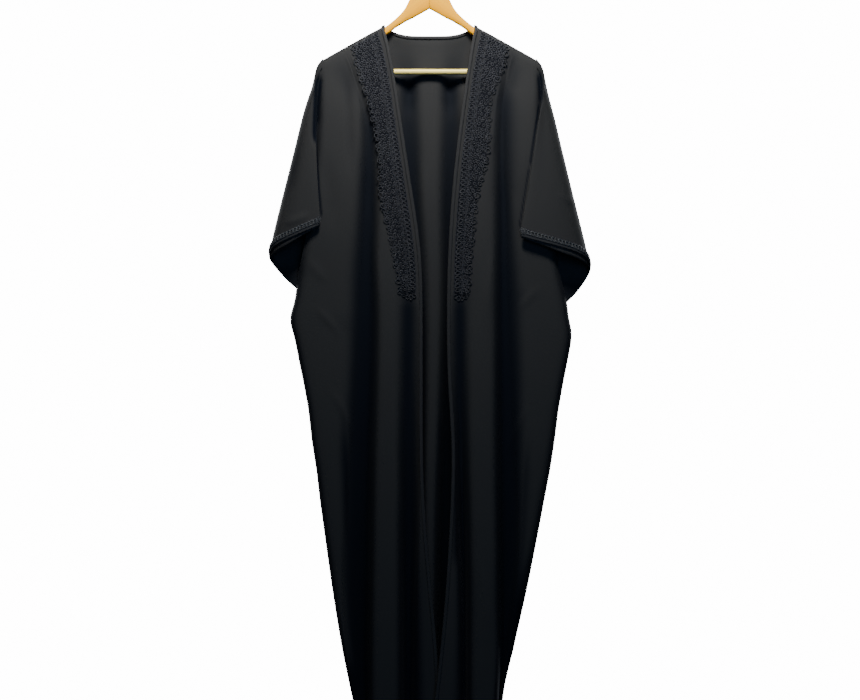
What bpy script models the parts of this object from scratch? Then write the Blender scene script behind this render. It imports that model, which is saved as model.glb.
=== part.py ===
"""Open-front abaya cloak hanging on a wooden hanger.

Metres, +Z up, the front towards -Y. The origin is the inside top of the hook, where a rail carries it.
Tables and sizes below are in millimetres. A "drop" is a distance down from the origin, an "out" is a
distance from the centre line towards the side, and a depth is a distance forward (or back) of the
plane of the hanger.
"""

import math

import bpy
import numpy as np

MM = 0.001

# Cloth and seams
CLOTH = 2.0
TRIM = 1.2
SEAM = 0.3
SHOULDER_SEAM = 0.9
LAP = CLOTH + 0.45
ON_CLOTH = CLOTH / 2 + 0.4 + TRIM / 2
ON_SLEEVE = ON_CLOTH + 0.5
LAP_WIDTH = 4.0
WRAP_RADIUS = 11.0
WRAP_DROP = 12.6
WRAP_ANGLES = (0, 30, 60, 90)

# Hanger
ARM_HALF_THICKNESS = 6.8
BAR_RADIUS = 5.8
BAR_DROP = 273.6
BAR_HALF_LENGTH = 199.0
PIN_RADIUS = 3.0
PIN_LENGTH = 9.0
HOOK_WIRE_RADIUS = 2.1
HOOK_BEND_RADIUS = 24.0
HOOK_STEM_DROP = 108.0
HOLE_CLEARANCE = 0.35

# Shoulder seam: (out, drop) at the neck point and at the end of the hanger
NECK_POINT = (91.0, 181.5)
SHOULDER_TIP = (226.0, 257.0)
NECK_SCOOP = 21.0
NECK_TURN = 4.5


def table(columns, *rows):
    """Named columns, each one a tuple down the rows."""
    return dict(zip(columns.split(), zip(*rows)))


def at(rows, column, drop):
    """The column's value at a drop: a smooth curve through the rows that never overshoots them."""
    x = np.array(rows["drop"], float)
    y = np.array(rows[column], float)
    slope = np.diff(y) / np.diff(x)
    tangent = np.concatenate([slope[:1], (slope[:-1] + slope[1:]) / 2, slope[-1:]])
    turning = slope[:-1] * slope[1:] <= 0
    tangent[1:-1][turning] = 0
    limit = 3 * np.minimum(np.abs(np.append(slope, slope[-1])), np.abs(np.insert(slope, 0, slope[0])))
    tangent = np.clip(tangent, -limit, limit)
    drop = min(max(drop, x[0]), x[-1])
    i = min(int(np.searchsorted(x, drop, side="right")) - 1, len(slope) - 1)
    width = x[i + 1] - x[i]
    t = (drop - x[i]) / width
    return float(
        y[i] * (1 + 2 * t) * (1 - t) ** 2
        + tangent[i] * width * t * (1 - t) ** 2
        + y[i + 1] * t * t * (3 - 2 * t)
        + tangent[i + 1] * width * t * t * (t - 1)
    )


# The folds of each front panel, as outs: its edge, the narrow valley beside the edge (above it, the
# same two lines bound the wide lace strip), the main valley, and the armhole or side seam.
LEFT_FRONT = table(
    "drop edge near_in near_out near_floor main_in main_out main_floor side edge_depth",
    (180, 91, 113, 166, 11, 174, 190, 11, 226, 11),
    (270, 73, 91, 143, 16, 149, 161, 15, 226, 15),
    (390, 55, 73, 111, 21, 115, 137, 14, 226, 20),
    (520, 35, 54, 99, 25, 105, 142, 12, 234, 25),
    (650, 17, 35, 74, 28, 103, 147, 12, 255, 30),
    (780, 15, 26, 60, 27, 101, 152, 12, 278, 34),
    (900, 15, 24, 61, 24, 104, 159, 12, 255, 37),
    (1030, 15, 23, 61, 22, 109, 164, 12, 236, 40),
    (1170, 10, 27, 60, 19, 112, 172, 12, 215, 42),
    (1330, -5, 35, 57, 16, 116, 176, 13, 191, 40),
    (1470, -17, 33, 56, 15, 118, 157, 15, 165, 42),
    (1610, -21, 32, 55, 15, 118, 130, 16, 136, 44),
)
RIGHT_FRONT = table(
    "drop edge near_in near_out near_floor main_in main_out main_floor side edge_depth",
    (180, 91, 113, 162, 11, 172, 190, 11, 226, 11),
    (270, 77, 92, 141, 16, 149, 163, 15, 226, 15),
    (390, 60, 78, 122, 21, 130, 156, 14, 224, 20),
    (520, 46, 64, 94, 25, 129, 165, 12, 230, 25),
    (650, 38, 54, 83, 28, 129, 167, 12, 254, 30),
    (780, 36, 45, 78, 27, 129, 170, 13, 279, 34),
    (900, 38, 46, 78, 24, 130, 175, 13, 262, 38),
    (1030, 47, 53, 77, 22, 131, 177, 14, 245, 44),
    (1170, 42, 57, 79, 17, 134, 181, 15, 219, 48),
    (1330, 32, 63, 78, 12, 137, 169, 16, 188, 54),
    (1470, 18, 65, 77, 13, 139, 148, 17, 156, 59),
    (1610, 1, 67, 77, 16, 134, 137, 19, 140, 63),
)
# What both fronts share: depth of the ridges, depth of the flat beside the seam, how wide the cloth
# rolls back towards the seam, the depth where it ends, and the width of a valley's wall.
FRONT_BODY = table(
    "drop ridge flat roll end wall",
    (180, 11, 11, 10, 11, 8),
    (270, 16, 11, 14, 6, 8),
    (330, 19, 18, 15, 5, 9),
    (390, 21, 21, 14, 8, 9),
    (450, 23, 23, 12, 14, 11),
    (520, 26, 25, 12, 20, 12),
    (600, 29, 25, 12, 20, 12),
    (660, 31, 23, 14, 14, 12),
    (710, 33, 22, 17, 0.5, 12),
    (780, 35, 22, 14, SEAM / 2, 12),
    (1030, 44, 23, 12, SEAM / 2, 10),
    (1330, 54, 23, 12, SEAM / 2, 6),
    (1610, 62, 19, 8, SEAM / 2, 4),
)
# The folds of the back, as outs for its side valleys and half widths for the fold in the middle,
# which comes forward between two valleys.
BACK_FOLDS = table(
    "drop left_out left_in left_floor middle middle_floor right_in right_out right_floor ridge",
    (180, 175, 134, 11, 16, 11, 134, 175, 11, 11),
    (270, 160, 132, 17, 15, 12, 132, 160, 17, 18),
    (390, 150, 112, 16, 14, 11, 120, 155, 17, 24),
    (520, 158, 110, 14, 13, 10, 118, 160, 15, 28),
    (650, 165, 108, 13, 12, 10, 118, 168, 13, 32),
    (780, 168, 108, 12, 11, 11, 116, 170, 12, 36),
    (900, 162, 106, 12, 11, 11, 112, 164, 12, 40),
    (1030, 150, 103, 12, 11, 11, 108, 152, 12, 44),
    (1170, 136, 98, 13, 10, 12, 102, 138, 13, 49),
    (1330, 122, 92, 14, 10, 13, 95, 120, 14, 54),
    (1470, 108, 86, 15, 10, 14, 88, 106, 15, 58),
    (1610, 96, 80, 16, 10, 15, 80, 94, 16, 62),
)
# Where the fold lines between its valleys stand; at the top the last two meet the neck point.
RIDGE_SHARES = (0.24, 0.48, 0.535)
MIDDLE_WALL = table(
    "drop wall",
    (180, 26),
    (520, 24),
    (900, 18),
    (1610, 12),
)

# Rows down the body below the shoulder wrap: the drop at the front edge or centre back, and at the
# left and right side. The armholes end at the row marked here.
BODY_ROWS = table(
    "centre left right",
    (215, 290, 290),
    (258, 318, 318),
    (310, 352, 352),
    (375, 398, 398),
    (445, 455, 455),
    (515, 518, 522),
    (585, 585, 592),
    (655, 650, 664),
    (722, 710, 736),
    (785, 776, 794),
    (855, 850, 860),
    (935, 935, 935),
    (1030, 1030, 1030),
    (1130, 1130, 1130),
    (1230, 1230, 1230),
    (1330, 1330, 1330),
    (1430, 1430, 1430),
    (1520, 1520, 1520),
    (1610, 1610, 1610),
)
ARMHOLE_ROW = len(WRAP_ANGLES) + 8
LACE_ROW = ARMHOLE_ROW

# Each sleeve: the fold at its inner edge and the fold that makes its outline, as outs.
LEFT_SLEEVE = {
    "folds": table(
        "drop inner outer",
        (262, 229.5, 231),
        (290, 229.5, 234),
        (350, 229, 249),
        (430, 225, 270),
        (530, 219, 295),
        (580, 215, 307),
        (640, 215, 321),
    ),
    "rim": table(
        "out drop depth",
        (247, 608, 25),
        (232, 598, 31),
        (219, 588, 36),
        (215, 580, 40),
        (220, 583, 43),
        (247, 594, 42),
        (282, 610, 36),
        (311, 624, 20),
        (321, 641, 1),
        (316, 655, -14),
        (300, 674, -18),
        (283, 692, -19),
        (264, 708, -12),
    ),
}
RIGHT_SLEEVE = {
    "folds": table(
        "drop inner outer",
        (262, 229.5, 231),
        (290, 229.5, 233),
        (325, 225, 237.5),
        (370, 217, 245),
        (470, 201, 269),
        (550, 187, 290),
        (602, 176, 305),
        (656, 176, 319),
    ),
    "rim": table(
        "out drop depth",
        (250, 634, 25),
        (215, 620, 31),
        (181, 608, 36),
        (176, 602, 40),
        (182, 605, 43),
        (220, 615, 43),
        (266, 627, 38),
        (304, 639, 22),
        (319, 657, 1),
        (318, 673, -14),
        (305, 695, -18),
        (289, 716, -19),
        (271, 734, -12),
    ),
}
# Depth of each line down a sleeve, as a share of the way from its head to the rim.
SLEEVE_SHARES = (0.07, 0.16, 0.28, 0.42, 0.57, 0.72, 0.84, 0.925, 1.0)
INNER_FOLD = 3
OUTER_FOLD = 8
SLEEVE_HEAD = 26.0
HEAD_REACH = 2.6
HEAD_CLEAR = 1.0
# How far the columns of a sleeve stand off the front panel, from the seam to the flap.
SLEEVE_LAYERS = (1.4, 3.8, 4.0, 5.4, 7.2)
SLEEVE_CLEAR = 1.5
FACING_SHOWS = (0.5, 6, 12, 13, 12, 11, 6)

# The wooden arm in sections from the joint to the end: its upper and its lower point.
ARM_SECTIONS = table(
    "top_out top_drop low_out low_drop",
    (0, 86, 0, 148),
    (12, 88.5, 8, 152.5),
    (23, 99, 20, 159.2),
    (31, 112, 33, 166.5),
    (42, 130, 46, 174),
    (56, 150, 59, 181.3),
    (70, 169.5, 70, 188.5),
    (88, 187.4, 83, 198.0),
    (140, 213.0, 133, 225),
    (190, 241.0, 180, 252),
    (209, 251.5, 196, 263),
    (217, 259, 200, 270),
    (221.5, 268, 202, 277),
    (221, 279, 204, 283),
    (214, 286, 208, 286),
)

SIDES = {
    "left": {"sign": -1, "front": LEFT_FRONT, "sleeve": LEFT_SLEEVE},
    "right": {"sign": 1, "front": RIGHT_FRONT, "sleeve": RIGHT_SLEEVE},
}


def lerp(a, b, t):
    return a + (b - a) * t


def shoulder_drop(out):
    share = (abs(out) - NECK_POINT[0]) / (SHOULDER_TIP[0] - NECK_POINT[0])
    return lerp(NECK_POINT[1], SHOULDER_TIP[1], min(max(share, 0), 1))


def valley(start, stop, top, floor, wall):
    """Four (out, depth) points: over the edge of a ridge, down, along the floor, and up again."""
    wall = min(wall, abs(stop - start) / 3)
    step = math.copysign(wall, stop - start)
    return [(start, top), (start + step, floor), (stop - step, floor), (stop, top)]


def front_section(rows, drop):
    """(out, depth) of the front panel's fold lines at one drop, from its front edge to its side."""
    edge, near_in, near_out, near_floor, main_in, main_out, main_floor, side, edge_depth = (
        at(rows, name, drop) for name in list(rows)[1:]
    )
    ridge, flat, roll, end, wall = (at(FRONT_BODY, name, drop) for name in list(FRONT_BODY)[1:])
    strip = min(8.0, (near_in - edge) * 0.6)
    roll = min(roll, (side - main_out) * 0.6)
    near = valley(near_in, near_out, ridge, near_floor, wall)
    near[0] = (near_in, lerp(edge_depth, ridge, 0.5))
    main = valley(main_in, main_out, ridge, main_floor, wall)
    main[3] = (main_out, flat)
    return (
        [(edge, edge_depth), (edge + strip, edge_depth)]
        + near
        + [(lerp(near_out, main_in, t), ridge + 1.5) for t in (0.35, 0.7)]
        + main[:2]
        + [(lerp(main[1][0], main[2][0], 0.5), main_floor - 1)]
        + main[2:]
        + [(lerp(main_out, side - roll, t), flat + 1) for t in (0.35, 0.7)]
        + seam_roll(side, roll, flat, end)
    )


def seam_roll(side, roll, flat, end):
    """The last points of a section. Beside a closed seam the cloth ends square to it."""
    open_share = min(max(end / 5, 0), 1)
    return [
        (side - roll, flat),
        (side - roll * lerp(0.3, 0.6, open_share), lerp(end, flat, lerp(0.8, 0.75, open_share))),
        (side - roll * lerp(0, 0.3, open_share), lerp(end, flat, 0.35)),
        (side, end),
    ]


def back_half(side, drop):
    """(out, depth) of half the back's fold lines at one drop, from the centre to its side."""
    fold_in, fold_out, floor = (at(BACK_FOLDS, side + name, drop) for name in ("_in", "_out", "_floor"))
    middle, middle_floor, ridge = (at(BACK_FOLDS, name, drop) for name in ("middle", "middle_floor", "ridge"))
    middle_wall = at(MIDDLE_WALL, "wall", drop)
    edge = at(SIDES[side]["front"], "side", drop)
    flat, roll, end, wall = (at(FRONT_BODY, name, drop) for name in ("flat", "roll", "end", "wall"))
    first_ridge = middle + middle_wall
    return (
        [(0, middle_floor), (middle, middle_floor), (lerp(middle, first_ridge, 0.6), lerp(middle_floor, ridge, 0.7))]
        + [(first_ridge, ridge)]
        + [(lerp(first_ridge, fold_in, t), ridge + 1.5) for t in RIDGE_SHARES]
        + valley(fold_in, fold_out, ridge, floor, wall)[:3]
        + [(fold_out, flat), (lerp(fold_out, edge - roll, 0.5), flat + 1)]
        + seam_roll(edge, roll, flat, end)
    )


def wrapped(angle, depth):
    """(extra drop, depth) of the cloth that turns over the arm, or the depth itself below it."""
    turn = math.radians(angle)
    return WRAP_DROP * (1 - math.cos(turn)), max(depth * math.sin(turn), SHOULDER_SEAM / 2)


def front_row(side, row):
    """The points of one row of a front panel, from its edge to its side."""
    spec = SIDES[side]
    wraps = len(WRAP_ANGLES)
    points = []
    columns = len(front_section(spec["front"], 500))
    for column in range(columns):
        share = column / (columns - 1)
        for _ in range(5):
            if row < wraps:
                drop = lerp(NECK_POINT[1], SHOULDER_TIP[1], share)
            else:
                drop = lerp(BODY_ROWS["centre"][row - wraps], BODY_ROWS[side][row - wraps], share)
            section = front_section(spec["front"], drop)
            out, depth = section[column]
            share = (out - section[0][0]) / (section[-1][0] - section[0][0])
        if row < wraps:
            extra, depth = wrapped(WRAP_ANGLES[row], WRAP_RADIUS)
            drop += extra
        points.append((spec["sign"] * out, -depth, -drop))
    return points


def back_row(row):
    """The points of one row of the back, from the left side to the right side."""
    wraps = len(WRAP_ANGLES)
    halves = {}
    for side in SIDES:
        halves[side] = []
        columns = len(back_half(side, 500))
        for column in range(columns):
            share = column / (columns - 1)
            for _ in range(5):
                if row < wraps:
                    drop = shoulder_drop(share * SHOULDER_TIP[0])
                else:
                    tilt = max((share * SHOULDER_TIP[0] - NECK_POINT[0]) / (SHOULDER_TIP[0] - NECK_POINT[0]), 0)
                    drop = lerp(BODY_ROWS["centre"][row - wraps], BODY_ROWS[side][row - wraps], tilt)
                section = back_half(side, drop)
                out, depth = section[column]
                share = out / section[-1][0]
            if row < wraps:
                out, depth, drop = back_top(out, row)
            elif row == wraps and out < NECK_POINT[0]:
                drop += 10 * (1 - (out / NECK_POINT[0]) ** 2)
            halves[side].append((SIDES[side]["sign"] * out, depth, -drop))
    return halves["left"][:0:-1] + halves["right"]


def back_top(out, row):
    """(out, depth, drop) in the rows at the top: over the arm on the shoulder, hanging free at the neck."""
    extra, depth = wrapped(WRAP_ANGLES[row], WRAP_RADIUS)
    free = min(max((NECK_POINT[0] - out) / NECK_TURN, 0), 1)
    scoop = NECK_SCOOP * (1 - min(out / NECK_POINT[0], 1) ** 4) ** 0.8
    drop = shoulder_drop(out) + lerp(extra, scoop + 3.0 * row, free)
    return out, lerp(depth, WRAP_RADIUS, free), drop


def facet_normals(net, sign):
    """Each point's normal to the outside of the cloak, longer where the facets round it bend."""
    net = np.asarray(net, float)
    facets = np.cross(net[:-1, 1:] - net[1:, :-1], net[1:, 1:] - net[:-1, :-1]) * sign
    facets /= np.linalg.norm(facets, axis=2, keepdims=True)
    rows, columns = net.shape[:2]
    found = np.zeros_like(net)
    for i in (0, 1):
        for j in (0, 1):
            found[i : rows - 1 + i, j : columns - 1 + j] += facets
    count = np.full((rows, columns, 1), 4.0)
    count[[0, -1]] /= 2
    count[:, [0, -1]] /= 2
    length = np.linalg.norm(found, axis=2, keepdims=True)
    even = np.minimum(count / length, 1.6)
    return found / length * even


def moved_out(net, distance, sign):
    """The net at an even distance from its facets, as a wall's own surface is."""
    return np.asarray(net, float) + facet_normals(net, sign) * distance


def principled(name, colour, roughness, metallic=0.0):
    material = bpy.data.materials.new(name)
    material.use_nodes = True
    shader = material.node_tree.nodes["Principled BSDF"]
    shader.inputs["Base Color"].default_value = (*colour, 1)
    shader.inputs["Roughness"].default_value = roughness
    shader.inputs["Metallic"].default_value = metallic
    material.diffuse_color = (*colour, 1)
    return material


def add_object(name, data, material, collection):
    made = bpy.data.objects.new(name, data)
    made.data.materials.append(material)
    collection.objects.link(made)
    return made


def grid_mesh(name, net, sign):
    """An open surface over a net of points, its faces to the outside."""
    rows, columns = len(net), len(net[0])
    points = [tuple(float(value) * MM for value in point) for row in net for point in row]
    faces = []
    for i in range(rows - 1):
        for j in range(columns - 1):
            corner = i * columns + j
            face = (corner, corner + 1, corner + columns + 1, corner + columns)
            faces.append(face if sign > 0 else face[::-1])
    mesh = bpy.data.meshes.new(name)
    mesh.from_pydata(points, [], faces)
    mesh.shade_smooth()
    return mesh


def cloth_wall(name, net, sign, thickness, material, collection, even=True):
    """A wall of cloth with its middle on the net. Cloth folded flat is not evened."""
    made = add_object(name, grid_mesh(name, net, sign), material, collection)
    solid = made.modifiers.new("Wall", "SOLIDIFY")
    solid.thickness = thickness * MM
    solid.offset = 0
    solid.use_even_offset = even
    return made


def sleeve_head(count, side, out):
    """An arch over the end of the shoulder, lapped outside the body's cloth."""
    sign = SIDES[side]["sign"]
    top = shoulder_drop(out) - LAP
    radius = WRAP_RADIUS + LAP + HEAD_CLEAR
    quarter = radius * math.pi / 2
    points = []
    for column in range(count):
        along = lerp(SLEEVE_HEAD, -SLEEVE_HEAD, column / (count - 1))
        turn = min(abs(along) / quarter, 1) * math.pi / 2
        drop = top + (WRAP_DROP + LAP) * (1 - math.cos(turn)) + max(abs(along) - quarter, 0)
        depth = math.copysign(radius * math.sin(turn), along)
        points.append((sign * out, -depth, -drop))
    return points


def hung_rows(panel):
    """The rows of a panel below the shoulder, as far as a sleeve reaches."""
    return np.asarray(panel, float)[len(WRAP_ANGLES) - 1 : ARMHOLE_ROW + 2]


def depth_over(cover, out, z):
    """Depth of a panel's surface at a place, or None beside the panel."""
    crossed = np.array([on_path(cover[:, column], z) for column in range(cover.shape[1])])
    outs = np.maximum.accumulate(np.abs(crossed[:, 0]))
    if out > outs[-1] + SLEEVE_CLEAR:
        return None
    return float(np.interp(out, outs, -crossed[:, 1]))


def sleeve_net(side, front, back):
    """Rows from the head to the rim; columns from the front seam round the flap to the back seam."""
    spec = SIDES[side]
    sign, folds, rim = spec["sign"], spec["sleeve"]["folds"], spec["sleeve"]["rim"]
    count = len(rim["out"])
    heads = [sleeve_head(count, side, SHOULDER_TIP[0] + reach) for reach in (-LAP_WIDTH, HEAD_REACH)]
    head = heads[-1]
    front_seam = seam_path(front, -sign, -1)
    back_seam = seam_path(back, 1, 0 if side == "left" else -1)
    covers = [moved_out(hung_rows(front), LAP + clear, -sign) for clear in SLEEVE_LAYERS]
    net = heads[:]
    for share in SLEEVE_SHARES:
        row = []
        for column in range(count):
            drop = lerp(-head[column][2], rim["drop"][column], share)
            depth = lerp(-head[column][1], rim["depth"][column], share ** 0.8)
            inner, outer = at(folds, "inner", drop), at(folds, "outer", drop)
            rim_drop = rim["drop"][column]
            rim_inner, rim_outer = at(folds, "inner", rim_drop), at(folds, "outer", rim_drop)
            part = (rim["out"][column] - rim_inner) / (rim_outer - rim_inner)
            row.append([lerp(inner, outer, part), depth, drop])
        row = [(sign * out, -depth, -drop) for out, depth, drop in row]
        row[0] = on_path(front_seam, row[0][2])
        row[-1] = on_path(back_seam, row[-1][2])
        for column in range(1, OUTER_FOLD - 1):
            x, y, z = row[column]
            if column < INNER_FOLD:
                share = column / INNER_FOLD
                x = lerp(row[0][0], row[INNER_FOLD][0], share)
                y = lerp(row[0][1], row[INNER_FOLD][1], share)
            depth = depth_over(covers[min(column, INNER_FOLD + 1)], abs(x), z)
            row[column] = (x, y if depth is None else min(y, -depth), z)
        net.append(row)
    return np.array(net)


def seam_path(panel, sign, column):
    """Points just outside a panel, a lap's width in from its armhole edge."""
    outer = moved_out(hung_rows(panel), LAP + SLEEVE_LAYERS[0], sign)
    step = 1 if column == 0 else -1
    return outer[:, column + step]


def on_path(path, z):
    order = np.argsort(path[:, 2])
    return tuple(float(np.interp(z, path[order, 2], path[order, axis])) for axis in range(3))


def strip_of(net, rows, columns, distance, sign):
    """The part of a net between two rows and two columns, moved out of the cloth."""
    return moved_out(net, distance, sign)[rows[0] : rows[1] + 1, columns[0] : columns[1] + 1]


def trimmed(strip, start, stop):
    """The strip without its first and last millimetres across, which leaves seams open."""
    strip = np.array(strip)
    for column, inward, gap in ((0, 1, start), (-1, -2, stop)):
        along = strip[:, inward] - strip[:, column]
        strip[:, column] += along / np.linalg.norm(along, axis=1, keepdims=True) * gap
    return strip


def folded_edge(net, sign, width):
    """A binding folded over a net's first column: front leg, over the edge, back leg."""
    net = np.asarray(net, float)
    normal = facet_normals(net, sign)[:, 0]
    inward = net[:, 1] - net[:, 0]
    inward /= np.linalg.norm(inward, axis=1, keepdims=True)
    reach = ON_CLOTH
    places = ((width, reach), (0, reach), (-reach, reach * 0.5), (-reach, -reach * 0.5), (0, -reach), (width, -reach))
    return np.stack([net[:, 0] + inward * a + normal * b for a, b in places], axis=1)


def add_arm(side, material, collection):
    """One half of the wooden hanger, a loft of rounded sections, bored for the hook and the bar's pin."""
    sign = SIDES[side]["sign"]
    sections = len(ARM_SECTIONS["top_out"])
    around = 12
    points = []
    for i in range(sections):
        top = np.array([ARM_SECTIONS["top_out"][i], -ARM_SECTIONS["top_drop"][i]])
        low = np.array([ARM_SECTIONS["low_out"][i], -ARM_SECTIONS["low_drop"][i]])
        if i == 0:
            top[0] = low[0] = SEAM / 2
        half = ARM_HALF_THICKNESS * (0.7 if i == sections - 1 else 1)
        for k in range(around):
            turn = 2 * math.pi * (k + 0.5) / around
            up = math.copysign(abs(math.cos(turn)) ** 0.8, math.cos(turn))
            aside = math.copysign(abs(math.sin(turn)) ** 0.8, math.sin(turn))
            out, z = lerp(low, top, 0.5 + up / 2)
            points.append((sign * out * MM, aside * half * MM, z * MM))
    faces = [tuple(range(around)), tuple(range((sections - 1) * around, sections * around))[::-1]]
    for i in range(sections - 1):
        for k in range(around):
            a, b = i * around + k, i * around + (k + 1) % around
            faces.append((a, a + around, b + around, b))
    if sign < 0:
        faces = [face[::-1] for face in faces]
    mesh = bpy.data.meshes.new("hanger_arm_" + side)
    mesh.from_pydata(points, [], faces)
    mesh.shade_smooth()
    mesh.set_sharp_from_angle(angle=math.radians(50))
    return add_object("hanger_arm_" + side, mesh, material, collection)


def add_cutter(name, radius, ends, collection):
    """A cylinder between two points, which bores a hole."""
    start, stop = (np.array(end) * MM for end in ends)
    bpy.ops.mesh.primitive_cylinder_add(
        vertices=16, radius=radius * MM, depth=float(np.linalg.norm(stop - start)), location=(start + stop) / 2
    )
    cutter = bpy.context.object
    cutter.name = name
    if abs(stop[0] - start[0]) > abs(stop[2] - start[2]):
        cutter.rotation_euler = (0, math.pi / 2, 0)
    for owner in list(cutter.users_collection):
        owner.objects.unlink(cutter)
    collection.objects.link(cutter)
    cutter.hide_render = True
    cutter.display_type = "WIRE"
    return cutter


def bore(made, cutter):
    hole = made.modifiers.new("Bore", "BOOLEAN")
    hole.operation = "DIFFERENCE"
    hole.solver = "EXACT"
    hole.object = cutter


def add_wire(name, route, radius, material, collection):
    """A round wire along a route, in millimetres."""
    curve = bpy.data.curves.new(name, "CURVE")
    curve.dimensions = "3D"
    curve.bevel_depth = radius * MM
    curve.bevel_resolution = 2
    curve.use_fill_caps = True
    spline = curve.splines.new("POLY")
    spline.points.add(len(route) - 1)
    for point, place in zip(spline.points, route):
        point.co = (place[0] * MM, place[1] * MM, place[2] * MM, 1)
    return add_object(name, curve, material, collection)


def hook_route():
    """Up the stem, round to the right, over the top and down to the open end on the left."""
    middle = -(HOOK_BEND_RADIUS - HOOK_WIRE_RADIUS)
    route = [(0, 0, -HOOK_STEM_DROP), (0, 0, -84), (0, 0, -66), (1.2, 0, -58)]
    for degrees in range(-64, 206, 15):
        turn = math.radians(degrees)
        route.append((HOOK_BEND_RADIUS * math.cos(turn), 0, middle + HOOK_BEND_RADIUS * math.sin(turn)))
    return route


def add_bar(material, collection):
    """The trouser bar, turned, with a thin pin at each end that goes into the arm."""
    profile = [
        (0, BAR_HALF_LENGTH + PIN_LENGTH),
        (PIN_RADIUS, BAR_HALF_LENGTH + PIN_LENGTH),
        (PIN_RADIUS, BAR_HALF_LENGTH),
        (BAR_RADIUS - 0.8, BAR_HALF_LENGTH),
        (BAR_RADIUS, BAR_HALF_LENGTH - 0.8),
    ]
    profile += [(radius, -along) for radius, along in reversed(profile)]
    mesh = bpy.data.meshes.new("trouser_bar")
    mesh.from_pydata(
        [(radius * MM, 0, along * MM) for radius, along in profile],
        [(i, i + 1) for i in range(len(profile) - 1)],
        [],
    )
    bar = add_object("trouser_bar", mesh, material, collection)
    bar.location = (0, 0, -BAR_DROP * MM)
    bar.rotation_euler = (0, math.pi / 2, 0)
    screw = bar.modifiers.new("Turn", "SCREW")
    screw.steps = screw.render_steps = 20
    screw.use_merge_vertices = True
    screw.merge_threshold = 0.00001
    screw.use_normal_calculate = True
    return bar


def add_hanger(cloak, cutters, wood, brass):
    arms = [add_arm(side, wood, cloak) for side in SIDES]
    stem_hole = add_cutter(
        "cut_stem", HOOK_WIRE_RADIUS + HOLE_CLEARANCE, ((0, 0, -60), (0, 0, -HOOK_STEM_DROP - SEAM)), cutters
    )
    for arm in arms:
        bore(arm, stem_hole)
    for side, arm in zip(SIDES, arms):
        sign = SIDES[side]["sign"]
        ends = [(sign * (BAR_HALF_LENGTH + reach), 0, -BAR_DROP) for reach in (-9, PIN_LENGTH + SEAM)]
        bore(arm, add_cutter("cut_pin_" + side, PIN_RADIUS + HOLE_CLEARANCE, ends, cutters))
    add_bar(brass, cloak)
    add_wire("hanger_hook", hook_route(), HOOK_WIRE_RADIUS, brass, cloak)


def add_side(side, back, cloth, lace, trim, cloak):
    """Front panel, sleeve, cuff, lace and edge binding of one side."""
    sign = SIDES[side]["sign"]
    facing_out = -sign
    rows = len(WRAP_ANGLES) + len(BODY_ROWS["centre"])
    front = np.array([front_row(side, row) for row in range(rows)])
    cloth_wall("front_" + side, front, facing_out, CLOTH, cloth, cloak)
    cloth_wall("edge_binding_" + side, folded_edge(front, facing_out, 5.0), facing_out, TRIM, trim, cloak)

    first = 2
    inner = strip_of(front, (first, LACE_ROW), (1, 2), ON_CLOTH, facing_out)
    cloth_wall("lace_inner_" + side, trimmed(inner, 0.0, 0.6), facing_out, TRIM, lace, cloak)
    outer = strip_of(front, (first, LACE_ROW), (2, 5), ON_CLOTH, facing_out)
    cloth_wall("lace_outer_" + side, trimmed(outer, 0.6, 0.0), facing_out, TRIM, lace, cloak)

    sleeve = sleeve_net(side, front, back)
    cloth_wall("sleeve_" + side, sleeve, facing_out, CLOTH, cloth, cloak)
    last = len(sleeve) - 1
    braid_columns = (INNER_FOLD + 1, len(sleeve[0]) - 2)
    braid = strip_of(sleeve, (last - 1, last), braid_columns, ON_SLEEVE, facing_out)
    cloth_wall("cuff_braid_" + side, braid, facing_out, TRIM, lace, cloak)
    cloth_wall("cuff_facing_" + side, facing_net(sleeve, facing_out), facing_out, TRIM, trim, cloak)


def facing_net(sleeve, sign):
    """The band inside the cuff: behind the flap's last row and past the rim, from fold to fold."""
    columns = slice(INNER_FOLD + 1, OUTER_FOLD + 2)
    inside = moved_out(sleeve, -ON_CLOTH, sign)[:, columns]
    down = sleeve[-1, columns] - sleeve[-2, columns]
    down /= np.linalg.norm(down, axis=1, keepdims=True)
    shows = np.array(FACING_SHOWS[: down.shape[0]])[:, None]
    return np.stack([inside[-2], inside[-1], inside[-1] + down * np.maximum(shows, 2.0)])


def main():
    for made in list(bpy.data.objects):
        bpy.data.objects.remove(made)
    scene = bpy.context.scene.collection
    cloak = bpy.data.collections.new("Abaya cloak on hanger")
    cutters = bpy.data.collections.new("Cutters")
    scene.children.link(cloak)
    scene.children.link(cutters)
    cloth = principled("black crepe", (0.012, 0.013, 0.015), 0.85)
    lace = principled("black lace braid", (0.018, 0.018, 0.024), 0.6)
    trim = principled("black binding", (0.02, 0.021, 0.026), 0.7)
    wood = principled("honey wood", (0.78, 0.5, 0.2), 0.42)
    brass = principled("brass", (0.8, 0.66, 0.34), 0.3, 1.0)

    rows = len(WRAP_ANGLES) + len(BODY_ROWS["centre"])
    back = np.array([back_row(row) for row in range(rows)])
    cloth_wall("back", back, 1, CLOTH, cloth, cloak)
    for side in SIDES:
        add_side(side, back, cloth, lace, trim, cloak)
    neck = [column for column in range(len(back[0])) if abs(back[0][column][0]) < NECK_POINT[0] - 3]
    neck_edge = np.swapaxes(back[:3, neck], 0, 1)
    cloth_wall("neck_binding", folded_edge(neck_edge, -1, 5.0), -1, TRIM, trim, cloak)
    add_hanger(cloak, cutters, wood, brass)


main()
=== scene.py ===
import math
import bpy

import numpy as np
from mathutils import Matrix, Vector


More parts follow.
